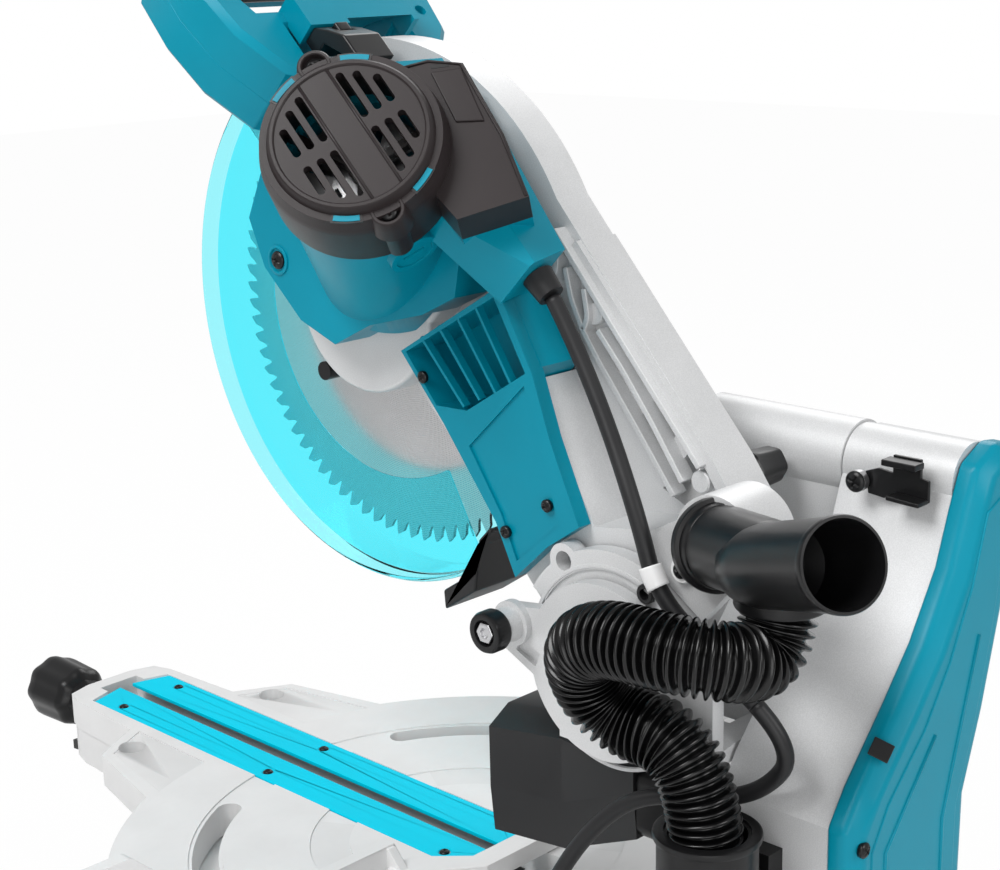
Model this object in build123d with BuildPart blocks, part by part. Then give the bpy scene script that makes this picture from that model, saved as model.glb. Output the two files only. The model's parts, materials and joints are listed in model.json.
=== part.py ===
"""Sliding compound mitre saw, head raised, in millimetres.

The frame has +X to the saw's right, -Y to the user and +Z up, with its origin on the bench plane
on the axis the table turns about.
"""

from build123d import *
import os
from math import atan2, cos, degrees, hypot, radians, sin, sqrt, tan

os.makedirs("parts", exist_ok=True)

# Driving sizes
TABLE_Z = 125.0            # top of the table over the bench
TABLE_R = 232.0            # turning table
TABLE_T = 24.0
BLADE_R = 152.5            # 305 mm blade
BORE_R = 15.0
BLADE_T = 2.4
PIVOT_Y = 179.0            # chop pivot, an axis along X
PIVOT_Z = 308.0
SWING = 44.7               # degrees from the raised head down to the table
BLADE_U = 275.0            # blade centre forward of the pivot, head lowered
BLADE_V = -40.6            # blade centre above the pivot, head lowered
RAIL_X = -79.0
RAIL_Z_UP = 407.0
RAIL_Z_LOW = 335.0
RAIL_R = 12.5
RUN = 0.05                 # radial clearance of a running fit
GAP = 0.5                  # open gap between pieces that move past each other
BASE_HALF_X = 345.0
BASE_HALF_Y = 95.0

COS = cos(radians(SWING))
SIN = sin(radians(SWING))


def head_plane(x):
    """Sketch plane of the head at X = x: local x forward from the pivot, local y up, head lowered."""
    return Plane(origin=(x, PIVOT_Y, PIVOT_Z), x_dir=(0, -COS, SIN), z_dir=(-1, 0, 0))


def head_point(x, u, v):
    """Place in the frame of the point u forward of the pivot and v above it."""
    return (x, PIVOT_Y - u * COS + v * SIN, PIVOT_Z + u * SIN + v * COS)


def front_plane(y):
    """Sketch plane across the saw at Y = y: local x is X and local y is Z; it extrudes forward."""
    return Plane(origin=(0, y, 0), x_dir=(1, 0, 0), z_dir=(0, -1, 0))


def side_plane(x):
    """Sketch plane at X = x: local x is Y and local y is Z; it extrudes to the right."""
    return Plane(origin=(x, 0, 0), x_dir=(0, 1, 0), z_dir=(1, 0, 0))


def save(part, name):
    part.label = name
    export_step(part, f"parts/{name}.step")


BLADE_CENTRE = head_point(0, BLADE_U, BLADE_V)

# ---------------------------------------------------------------- base, fixed to the bench
BASE_Z = 10.0
FRONT_HALF_Y = BASE_HALF_Y - 7.0
RIM_Z = TABLE_Z - TABLE_T - 1.0
WELL_R = TABLE_R + 4.0
BASE_R = TABLE_R + 8.0
WALL = 6.0
LUG_X = 305.0
LUG_Y = BASE_HALF_Y + 17.0
BOLT_R = 4.5
PIN_R = 10.0
LIP_R = BASE_R + 22.0
LIP_Z = 62.0

with BuildPart() as base_casting:
    with BuildSketch(Plane.XY.offset(BASE_Z)):
        Circle(BASE_R)
        with BuildLine():
            Polyline((0, -FRONT_HALF_Y), (330, -FRONT_HALF_Y), (BASE_HALF_X, 15 - FRONT_HALF_Y),
                     (BASE_HALF_X, BASE_HALF_Y - 13), (332, BASE_HALF_Y), (284, BASE_HALF_Y), (195, 44),
                     (0, 44), close=True)
        make_face()
        mirror(about=Plane.YZ)
    extrude(amount=RIM_Z - BASE_Z)
    with BuildSketch(Plane.XY.offset(RIM_Z)):
        with BuildLine():
            Polyline((215, 20), (304, 24 - FRONT_HALF_Y), (304, -FRONT_HALF_Y), (330, -FRONT_HALF_Y),
                     (BASE_HALF_X, 15 - FRONT_HALF_Y), (BASE_HALF_X, BASE_HALF_Y - 13),
                     (332, BASE_HALF_Y), (288, BASE_HALF_Y), (215, 52), close=True)
        make_face()
        Circle(WELL_R, mode=Mode.SUBTRACT)
        mirror(about=Plane.YZ)
    extrude(amount=TABLE_Z - RIM_Z)
    with BuildSketch(Plane.XY.offset(BASE_Z)):
        Circle(BASE_R - WALL)
    extrude(amount=RIM_Z - BASE_Z - WALL, mode=Mode.SUBTRACT)
    with BuildSketch(Plane.XY.offset(BASE_Z)):
        with BuildLine():
            Polyline((200, WALL - FRONT_HALF_Y), (328, WALL - FRONT_HALF_Y),
                     (BASE_HALF_X - WALL, 18 - FRONT_HALF_Y),
                     (BASE_HALF_X - WALL, BASE_HALF_Y - 15), (330, BASE_HALF_Y - WALL),
                     (287, BASE_HALF_Y - WALL), (200, 39), close=True)
        make_face()
        Circle(BASE_R - 1, mode=Mode.SUBTRACT)
        mirror(about=Plane.YZ)
    extrude(amount=RIM_Z - BASE_Z - WALL, mode=Mode.SUBTRACT)
    with BuildSketch(Plane.XY.offset(RIM_Z - WALL - 1)):
        with Locations((325 - 6, 0), (-325 + 6, 0)):
            Rectangle(36, 150)
    extrude(amount=TABLE_Z - RIM_Z, mode=Mode.SUBTRACT)
    with BuildSketch(Plane.XY.offset(BASE_Z + 6)):
        Rectangle(2 * (BASE_R - 2), 6)
        for x in (-120, 0, 120):
            with Locations((x, 0)):
                Rectangle(6, 2 * sqrt((BASE_R - 2) ** 2 - x * x) - 2)
        Circle(32)
    extrude(amount=RIM_Z - BASE_Z - 8)
    with BuildSketch(Plane.XY.offset(LIP_Z)):
        Circle(LIP_R)
        Circle(BASE_R - 2, mode=Mode.SUBTRACT)
        with Locations((0, 190)):
            Rectangle(700, 600, mode=Mode.SUBTRACT)
    extrude(amount=14)
    with BuildSketch(Plane.XY):
        for x in (-LUG_X, LUG_X):
            for y in (-LUG_Y - 4, LUG_Y + 4):
                with Locations((x, y)):
                    RectangleRounded(44, 46, 12)
    extrude(amount=BASE_Z)
    with BuildSketch(Plane.XY.offset(BASE_Z)):
        for x in (-LUG_X, LUG_X):
            for y in (-LUG_Y, LUG_Y):
                with Locations((x, y)):
                    RectangleRounded(44, 54, 12)
    extrude(amount=BASE_Z)
    with Locations(*[(x, y, BASE_Z) for x in (-LUG_X, LUG_X) for y in (-LUG_Y, LUG_Y)]):
        Cylinder(BOLT_R, 50, mode=Mode.SUBTRACT)
    with Locations((0, 0, 60)):
        Cylinder(PIN_R, 120, mode=Mode.SUBTRACT)
save(base_casting.part, "base_casting")

FOOT_R = 16.0
with BuildPart() as feet:
    for x in (-310, 310):
        for y in (-70, 76):
            with Locations((x, y, BASE_Z / 2)):
                Cylinder(FOOT_R, BASE_Z)
    for x in (-120, 120):
        with Locations((x, 0, BASE_Z / 2 + 3)):
            Cylinder(FOOT_R, BASE_Z + 6)
    chamfer(feet.edges().group_by(Axis.Z)[0], 1.5)
save(feet.part, "feet")

with BuildPart() as mitre_bolt:
    with Locations((0, 0, 60)):
        Cylinder(PIN_R, 90)
    with Locations((0, 0, 13.5)):
        Cylinder(16, 5)
save(mitre_bolt.part, "mitre_bolt")

SCALE_T = 1.5
with BuildPart() as mitre_scale:
    with BuildSketch(Plane.XY.offset(LIP_Z + 14)):
        Circle(LIP_R - 2)
        Circle(BASE_R + 0.5, mode=Mode.SUBTRACT)
        with Locations((0, 180)):
            Rectangle(700, 600, mode=Mode.SUBTRACT)
    extrude(amount=SCALE_T)
save(mitre_scale.part, "mitre_scale")

# Fence: the face the work rests on is Y = 0
FENCE_IN = 60.0
FENCE_TOP = 150.0
FENCE_OUT_TOP = 172.0
FENCE_T = 9.0
FENCE_BACK = 26.0
with BuildPart() as fence_lower:
    for side in (-1, 1):
        with BuildSketch(front_plane(FENCE_T)):
            with BuildLine():
                Polyline(
                    (side * FENCE_IN, TABLE_Z + 0.6),
                    (side * (BASE_HALF_X - 6), TABLE_Z + 0.6),
                    (side * (BASE_HALF_X - 6), FENCE_OUT_TOP),
                    (side * 190, FENCE_OUT_TOP),
                    (side * 165, FENCE_TOP),
                    (side * (FENCE_IN + 12), FENCE_TOP),
                    close=True,
                )
            make_face()
        extrude(amount=FENCE_T)
        with BuildSketch(front_plane(FENCE_BACK)):
            with BuildLine():
                Polyline(
                    (side * FENCE_IN, TABLE_Z + 0.6),
                    (side * (BASE_HALF_X - 6), TABLE_Z + 0.6),
                    (side * (BASE_HALF_X - 6), TABLE_Z + 10),
                    (side * FENCE_IN, TABLE_Z + 10),
                    close=True,
                )
            make_face()
        extrude(amount=FENCE_BACK - FENCE_T + 1)
        for x in (FENCE_IN + 16, 120, 180, 240, 300):
            with BuildSketch(side_plane(side * x - 3)):
                with BuildLine():
                    Polyline(
                        (FENCE_T - 1, TABLE_Z + 8),
                        (FENCE_BACK, TABLE_Z + 8),
                        (FENCE_T + 2, FENCE_TOP - 1),
                        (FENCE_T - 1, FENCE_TOP - 1),
                        close=True,
                    )
                make_face()
            extrude(amount=6)
    with BuildSketch(Plane.XY.offset(TABLE_Z + 0.6)):
        with BuildLine():
            Polyline((-FENCE_IN - 22, FENCE_BACK - 3), (-38, 56), (38, 56), (FENCE_IN + 22, FENCE_BACK - 3),
                     (FENCE_IN + 22, 12), (FENCE_IN, 12), (34, 40), (-34, 40), (-FENCE_IN, 12),
                     (-FENCE_IN - 22, 12), close=True)
        make_face()
    extrude(amount=12)
    for x in (-290, 290):
        with Locations((x, FENCE_BACK / 2, TABLE_Z + 0.5)):
            Box(80, FENCE_BACK, 1.0)
save(fence_lower.part, "fence_lower")

SUB_IN = 236.0
SUB_OUT = BASE_HALF_X - 4
SUB_TOP = 214.0
TONGUE_Z = FENCE_OUT_TOP + GAP


def sub_fence(side):
    """Sliding upper fence of one side, resting on the lower fence with a lip behind it."""
    with BuildPart() as piece:
        with BuildSketch(front_plane(FENCE_T)):
            with BuildLine():
                Polyline(
                    (side * (SUB_IN + 14), TONGUE_Z),
                    (side * SUB_OUT, TONGUE_Z),
                    (side * SUB_OUT, SUB_TOP),
                    (side * (SUB_IN + 26), SUB_TOP),
                    (side * SUB_IN, TONGUE_Z + 18),
                    (side * SUB_IN, TONGUE_Z),
                    close=True,
                )
            make_face()
        extrude(amount=FENCE_T)
        fillet(piece.edges().filter_by(Axis.Y).group_by(Axis.Z)[-1], 6)
        with BuildSketch(side_plane(side * (SUB_IN + 20) if side > 0 else -SUB_OUT + 6)):
            with BuildLine():
                Polyline(
                    (FENCE_T - 1, TONGUE_Z),
                    (FENCE_T + GAP, TONGUE_Z),
                    (FENCE_T + GAP, FENCE_TOP + 4),
                    (FENCE_T + 6, FENCE_TOP + 4),
                    (FENCE_T + 6, TONGUE_Z + 12),
                    (FENCE_T - 1, TONGUE_Z + 12),
                    close=True,
                )
            make_face()
        extrude(amount=SUB_OUT - SUB_IN - 26)
    return piece.part


save(sub_fence(1), "fence_upper_right")
save(sub_fence(-1), "fence_upper_left")

# ---------------------------------------------------------------- turning table
BOARD_OUT = 35.3
BOARD_IN = 5.7
BOARD_T = 3.0
ARM_FRONT = -410.0
BAND_IN = 160.0
BAND_OUT = 180.0
HOLE_X = 65.3
HOLE_Y = -284.0
HOLE_R = 10.0
REAR_HALF = 60.0
TOWER_FRONT = 243.0
BOSS_FRONT = 206.0
BEVEL_R = 58.0
SCREW_X = 25.9
SCREW_YS = (-352.0, -175.0, 5.0)
SHAFT_R = 14.0
ARM_LEG_Z = 73.0
GRIP_Z = 96.0
ROD_R = 8.0

with BuildPart() as table_casting:
    with BuildSketch(Plane.XY.offset(TABLE_Z - TABLE_T)):
        Circle(TABLE_R)
        with BuildLine():
            Polyline((0, ARM_FRONT), (20, ARM_FRONT), (39, -404), (44, -388), (48.2, -311), (89, -288),
                     (110, -198), (0, -150), close=True)
        make_face()
        mirror(about=Plane.YZ)
        with Locations((0, (200 + TOWER_FRONT - GAP) / 2)):
            Rectangle(2 * REAR_HALF, TOWER_FRONT - GAP - 200)
    extrude(amount=TABLE_T)
    # ribs and skirt under the front arm
    with BuildSketch(Plane.XY.offset(ARM_LEG_Z)):
        with BuildLine():
            Polyline((0, ARM_FRONT), (20, ARM_FRONT), (38, -403), (43, -385), (46, -330), (46, -274),
                     (0, -274), close=True)
        make_face()
        mirror(about=Plane.YZ)
        with Locations((0, -330)):
            Rectangle(78, 140, mode=Mode.SUBTRACT)
    extrude(amount=TABLE_Z - TABLE_T - ARM_LEG_Z + 1)
    # rear boss that carries the bevel shaft
    with BuildSketch(front_plane(TOWER_FRONT - GAP)):
        with Locations((0, TABLE_Z)):
            Circle(BEVEL_R)
        with Locations((0, TABLE_Z - TABLE_T - 100)):
            Rectangle(2 * REAR_HALF, 200, mode=Mode.SUBTRACT)
    extrude(amount=TOWER_FRONT - GAP - BOSS_FRONT)
    # band let into the table top, with its through openings
    with BuildSketch(Plane.XY.offset(TABLE_Z)):
        Circle(BAND_OUT + 1)
        Circle(BAND_IN - 1, mode=Mode.SUBTRACT)
    extrude(amount=-1.2, mode=Mode.SUBTRACT)
    with BuildSketch(Plane.XY.offset(TABLE_Z)):
        Circle(103)
        Circle(77, mode=Mode.SUBTRACT)
    extrude(amount=-1.0, mode=Mode.SUBTRACT)
    with BuildSketch(Plane.XY.offset(TABLE_Z)):
        for start in (-62, 188):
            SlotArc(CenterArc((0, 0), (BAND_IN + BAND_OUT) / 2, start, 54, mode=Mode.PRIVATE), 17)
    extrude(amount=-TABLE_T - 4, mode=Mode.SUBTRACT)
    # seat of the kerf boards and the trough under the slot
    with BuildSketch(Plane.XY.offset(TABLE_Z)):
        with BuildLine():
            Polyline((0, -391), (BOARD_IN + 1, -390), (BOARD_OUT + 0.5, -380), (BOARD_OUT + 0.5, 24),
                     (BOARD_IN + 1, 38),
                     (0, 38), close=True)
        make_face()
        mirror(about=Plane.YZ)
    extrude(amount=-BOARD_T, mode=Mode.SUBTRACT)
    with BuildSketch(Plane.XY.offset(TABLE_Z)):
        with Locations((0, -160)):
            Rectangle(34, 474)
    extrude(amount=-19, mode=Mode.SUBTRACT)
    with BuildSketch(Plane.XY.offset(TABLE_Z)):
        for side in (-1, 1):
            with Locations((side * HOLE_X, HOLE_Y)):
                Circle(HOLE_R)
    extrude(amount=-TABLE_T - 4, mode=Mode.SUBTRACT)
    for side in (-1, 1):
        with BuildSketch(Plane.XY.offset(TABLE_Z)):
            with BuildLine():
                Polyline((side * 46, -303), (side * 82, -284), (side * 97, -206), (side * 80, -213),
                         (side * 46, -222),
                         close=True)
            make_face()
            with Locations((side * HOLE_X, HOLE_Y)):
                Circle(HOLE_R, mode=Mode.SUBTRACT)
        extrude(amount=-0.8, mode=Mode.SUBTRACT)
    for x in (-SCREW_X, SCREW_X):
        for y in SCREW_YS:
            with Locations((x, y, TABLE_Z - 10)):
                Cylinder(2.6, 20, mode=Mode.SUBTRACT)
    with Locations((0, 0, TABLE_Z - TABLE_T + 2)):
        Cylinder(PIN_R + RUN, 5 * TABLE_T, mode=Mode.SUBTRACT)
    with Locations((0, ARM_FRONT, GRIP_Z)):
        Cylinder(ROD_R, 40, rotation=(90, 0, 0), mode=Mode.SUBTRACT)
    with Locations((0, TOWER_FRONT - 20, TABLE_Z)):
        Cylinder(SHAFT_R + RUN, 80, rotation=(90, 0, 0), mode=Mode.SUBTRACT)
save(table_casting.part, "table_casting")


def kerf_board(side):
    """One plastic board beside the slot, its front end cut to a point."""
    with BuildPart() as piece:
        with BuildSketch(Plane.XY.offset(TABLE_Z - BOARD_T)):
            with BuildLine():
                Polyline((side * BOARD_IN, -386.4), (side * BOARD_OUT, -377), (side * BOARD_OUT, 23),
                         (side * BOARD_IN, 36), close=True)
            make_face()
        extrude(amount=BOARD_T)
        with Locations(*[(side * SCREW_X, y, TABLE_Z) for y in SCREW_YS]):
            CounterSinkHole(2.7, 4.6, depth=10)
    return piece.part


save(kerf_board(1), "kerf_board_right")
save(kerf_board(-1), "kerf_board_left")

with BuildPart() as board_screws:
    for x in (-SCREW_X, SCREW_X):
        for y in SCREW_YS:
            with Locations((x, y, TABLE_Z - 9)):
                Cylinder(2.5, 14)
            with Locations((x, y, TABLE_Z - 1.5)):
                Cone(2.5, 3.6, 1.6)
save(board_screws.part, "board_screws")

with BuildPart() as mitre_pointer:
    with BuildSketch(Plane.XY.offset(LIP_Z + 14 + SCALE_T + 1.5)):
        with BuildLine():
            Polyline((-7, -277), (7, -277), (2, -252), (0, -246), (-2, -252), close=True)
        make_face()
    extrude(amount=1.5)
    with Locations((0, -275.6, 90.2)):
        Box(20, 3, 21.4)
save(mitre_pointer.part, "mitre_pointer")

GRIP_R = 23.0
GRIP_BACK = -422.0
GRIP_FRONT = -528.0


with BuildPart() as grip_knob:
    with BuildSketch(front_plane(-464)):
        with Locations((0, GRIP_Z)):
            Circle(GRIP_R)
        with Locations((0, GRIP_Z)):
            with PolarLocations(GRIP_R + 6, 8):
                Circle(8.5, mode=Mode.SUBTRACT)
    extrude(amount=abs(GRIP_FRONT) - 464)
    with BuildSketch(front_plane(GRIP_BACK)):
        with Locations((0, GRIP_Z)):
            Circle(20)
    extrude(amount=44, taper=-1.5)
    with BuildSketch(front_plane(GRIP_BACK)):
        with Locations((0, GRIP_Z)):
            Circle(ROD_R + RUN)
    extrude(amount=82, mode=Mode.SUBTRACT)
    fillet(grip_knob.edges().group_by(Axis.Y)[0], 2.5)
save(grip_knob.part, "grip_knob")

LEVER_Y = -400.0
with BuildPart() as detent_lever:
    with BuildSketch(side_plane(-9)):
        with BuildLine():
            Polyline((LEVER_Y - 14, 70), (LEVER_Y - 14, 62), (-440, 54), (-458, 52), (-458, 60), (-442, 64),
                     (LEVER_Y - 17, 71), close=True)
        make_face()
    extrude(amount=18)
    with Locations((0, LEVER_Y - 12, 66)):
        Cylinder(6, 18, rotation=(0, 90, 0))
    with Locations((0, LEVER_Y - 12, 66)):
        Cylinder(3 + RUN, 40, rotation=(0, 90, 0), mode=Mode.SUBTRACT)
save(detent_lever.part, "detent_lever")


with BuildPart() as table_pins:
    with Locations((0, (ARM_FRONT + 12 - 500) / 2, GRIP_Z)):
        Cylinder(ROD_R, abs(-500 - (ARM_FRONT + 12)), rotation=(90, 0, 0))
    with Locations((0, LEVER_Y - 12, 66)):
        Cylinder(3, 34, rotation=(0, 90, 0))
    for x in (-13.5, 13.5):
        with BuildSketch(side_plane(x - 3)):
            with BuildLine():
                Polyline((LEVER_Y - 18, 60), (LEVER_Y - 4, 60), (LEVER_Y + 1, 73), (LEVER_Y - 9, 73),
                         (LEVER_Y - 18, 70), close=True)
            make_face()
        extrude(amount=6)
save(table_pins.part, "table_pins")

# ---------------------------------------------------------------- tower, leans to the left
TOWER_BACK = 311.0
LATCH_Y = 262.0
COVER_BACK = 329.0
with BuildPart() as tower_casting:
    with BuildSketch(front_plane(TOWER_BACK)):
        with BuildLine():
            Polyline((48, TABLE_Z), (48, 252), (35, 270), (2, 305), (-22, 331), (-45, 366), (-58, 401),
                     (-66, 417), (-84, 426), (-96, 424), (-101, 410), (-88, 335), (-73, 283), (-57, 240),
                     (-55, TABLE_Z), close=True)
        make_face()
        with Locations((0, TABLE_Z)):
            Circle(BEVEL_R)
    extrude(amount=TOWER_BACK - TOWER_FRONT)
    with BuildSketch(front_plane(TOWER_BACK)):
        with Locations((RAIL_X, RAIL_Z_UP), (RAIL_X, RAIL_Z_LOW)):
            Circle(RAIL_R + 8)
    extrude(amount=TOWER_BACK - TOWER_FRONT)
    with Locations((RAIL_X, 270, RAIL_Z_UP), (RAIL_X, 270, RAIL_Z_LOW)):
        Cylinder(RAIL_R, 120, rotation=(90, 0, 0), mode=Mode.SUBTRACT)
    with Locations((0, 262, TABLE_Z)):
        Cylinder(SHAFT_R, 120, rotation=(90, 0, 0), mode=Mode.SUBTRACT)
    with Locations((-55.5, LATCH_Y, 405)):
        Cylinder(3, 21, rotation=(0, 90, 0), mode=Mode.SUBTRACT)
save(tower_casting.part, "tower_casting")

with BuildPart() as tower_cover:
    with BuildSketch(front_plane(COVER_BACK)):
        with BuildLine():
            Polyline((50, TABLE_Z - 20), (50, 253), (36, 272), (3, 307), (-20, 333), (-43, 368), (-56, 402),
                     (-64, 419), (-84, 428), (-98, 426), (-104, 410), (-91, 335), (-76, 283), (-60, 240),
                     (-57, TABLE_Z - 20), close=True)
        make_face()
    extrude(amount=COVER_BACK - TOWER_BACK)
    chamfer(tower_cover.faces().sort_by(Axis.Y)[-1].edges(), 8)
save(tower_cover.part, "tower_cover")

with BuildPart() as bevel_shaft:
    with Locations((0, 252, TABLE_Z)):
        Cylinder(SHAFT_R, 100, rotation=(90, 0, 0))
save(bevel_shaft.part, "bevel_shaft")

RAIL_FRONT = -105.0
for rail_name, rail_z in (("slide_rail_upper", RAIL_Z_UP), ("slide_rail_lower", RAIL_Z_LOW)):
    with BuildPart() as rail:
        with Locations((RAIL_X, (RAIL_FRONT + TOWER_BACK) / 2, rail_z)):
            Cylinder(RAIL_R, TOWER_BACK - RAIL_FRONT, rotation=(90, 0, 0))
            Cylinder(RAIL_R - 2.5, TOWER_BACK - RAIL_FRONT, rotation=(90, 0, 0), mode=Mode.SUBTRACT)
    save(rail.part, rail_name)

CAP_HALF = 21.0
KNOB_Z = (RAIL_Z_UP + RAIL_Z_LOW) / 2
with BuildPart() as rail_cap:
    with BuildSketch(front_plane(RAIL_FRONT + 18)):
        with Locations((RAIL_X, (RAIL_Z_UP + RAIL_Z_LOW) / 2)):
            SlotOverall(RAIL_Z_UP - RAIL_Z_LOW + 2 * CAP_HALF, 2 * CAP_HALF, rotation=90)
    extrude(amount=30)
    with Locations((RAIL_X, RAIL_FRONT + 14, RAIL_Z_UP), (RAIL_X, RAIL_FRONT + 14, RAIL_Z_LOW)):
        Cylinder(RAIL_R, 28, rotation=(90, 0, 0), mode=Mode.SUBTRACT)
    fillet(rail_cap.edges().group_by(Axis.Y)[0], 4)
    with Locations((RAIL_X, RAIL_FRONT - 8, KNOB_Z)):
        Cylinder(5, 24, rotation=(90, 0, 0), mode=Mode.SUBTRACT)
save(rail_cap.part, "rail_cap")

with BuildPart() as bevel_knob:
    with BuildSketch(front_plane(RAIL_FRONT - 13)):
        with Locations((RAIL_X, KNOB_Z)):
            Circle(21)
            with PolarLocations(24, 6):
                Circle(7, mode=Mode.SUBTRACT)
    extrude(amount=24)
    with Locations((RAIL_X, RAIL_FRONT - 13.3, KNOB_Z)):
        Cylinder(9, 2, rotation=(90, 0, 0))
    fillet(bevel_knob.edges().group_by(Axis.Y)[0], 2)
    with Locations((RAIL_X, RAIL_FRONT - 16, KNOB_Z)):
        Cylinder(5 + RUN, 80, rotation=(90, 0, 0), mode=Mode.SUBTRACT)
save(bevel_knob.part, "bevel_knob")


# latch lever on the tower's right shoulder
with BuildPart() as latch_lever:
    with BuildSketch(Plane(origin=(-53, 0, 0), x_dir=(0, 1, 0), z_dir=(1, 0, 0))):
        with BuildLine():
            Polyline((250, 398), (250, 412), (262, 418), (296, 422), (298, 405), (280, 404), (276, 394),
                     (260, 392),
                     close=True)
        make_face()
        with Locations((LATCH_Y, 405)):
            Circle(3 + RUN, mode=Mode.SUBTRACT)
    extrude(amount=5)
save(latch_lever.part, "latch_lever")

with BuildPart() as tower_studs:
    with Locations((RAIL_X, RAIL_FRONT - 21.5, KNOB_Z)):
        Cylinder(5, 37, rotation=(90, 0, 0))
    with Locations((RAIL_X, RAIL_FRONT - 39.2, KNOB_Z)):
        Cylinder(8, 3, rotation=(90, 0, 0))
    with Locations((-55.5, LATCH_Y, 405)):
        Cylinder(3, 21, rotation=(0, 90, 0))
    with Locations((-45, LATCH_Y, 405)):
        Cylinder(6, 4, rotation=(0, 90, 0))
save(tower_studs.part, "tower_studs")

# dust hood behind the slot, its duct and the hose socket
HOOD_FRONT = 62.0
HOOD_T = 2.5


def hood_section(y, low, high, left, right, inset):
    """Eight-sided section of the hood at Y = y, its top corners cut, drawn in by the wall."""
    lo, hi, le, ri = low + inset, high - inset, left + inset, right - inset
    with BuildSketch(front_plane(y)) as section:
        with BuildLine():
            Polyline((le + 3, lo), (ri - 3, lo), (ri, lo + 30), (ri, hi - 10), (ri - 17, hi), (le + 17, hi),
                     (le, hi - 10), (le, lo + 30), close=True)
        make_face()
    return section.sketch


HOOD_SECTIONS = ((HOOD_FRONT, 164, 243, -39.5, 39.5), (120, 171, 252, -39.5, 39.5), (186, 204, 257, -8, 52))
with BuildPart() as dust_hood:
    loft(sections=[hood_section(y, lo, hi, le, ri, 0) for y, lo, hi, le, ri in HOOD_SECTIONS], ruled=True)
    loft(sections=[hood_section(y, lo, hi, le, ri, HOOD_T) for y, lo, hi, le, ri in
                   ((HOOD_FRONT - 0.5, 164, 243, -39.5, 39.5),) + HOOD_SECTIONS[1:2]
                   + ((183.5, 204, 257, -8, 52),)],
         ruled=True, mode=Mode.SUBTRACT)
save(dust_hood.part, "dust_hood")

with BuildPart() as hood_duct:
    with BuildSketch(front_plane(TOWER_FRONT)):
        with Locations((28, 226)):
            RectangleRounded(44, 44, 10)
    extrude(amount=TOWER_FRONT - 186.5)
save(hood_duct.part, "hood_duct")

SOCKET_X = 91.0
SOCKET_Y = 268.0
SOCKET_Z = 252.0
HOSE_R = 19.5
with BuildPart() as hose_socket:
    with BuildSketch(front_plane(TOWER_FRONT + 30)):
        with Locations((70, 212)):
            RectangleRounded(42, 42, 8)
    extrude(amount=30)
    with BuildSketch(Plane(origin=(SOCKET_X, SOCKET_Y, SOCKET_Z), x_dir=(1, 0, 0), z_dir=(0, 0, -1))):
        Circle(26)
    extrude(amount=46)
    with BuildSketch(Plane(origin=(SOCKET_X, SOCKET_Y, SOCKET_Z), x_dir=(1, 0, 0), z_dir=(0, 0, -1))):
        Circle(HOSE_R + 1)
    extrude(amount=34, mode=Mode.SUBTRACT)
    with Locations((54, 263.5, 222)):
        Box(12, 40, 20)
save(hose_socket.part, "hose_socket")

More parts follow.
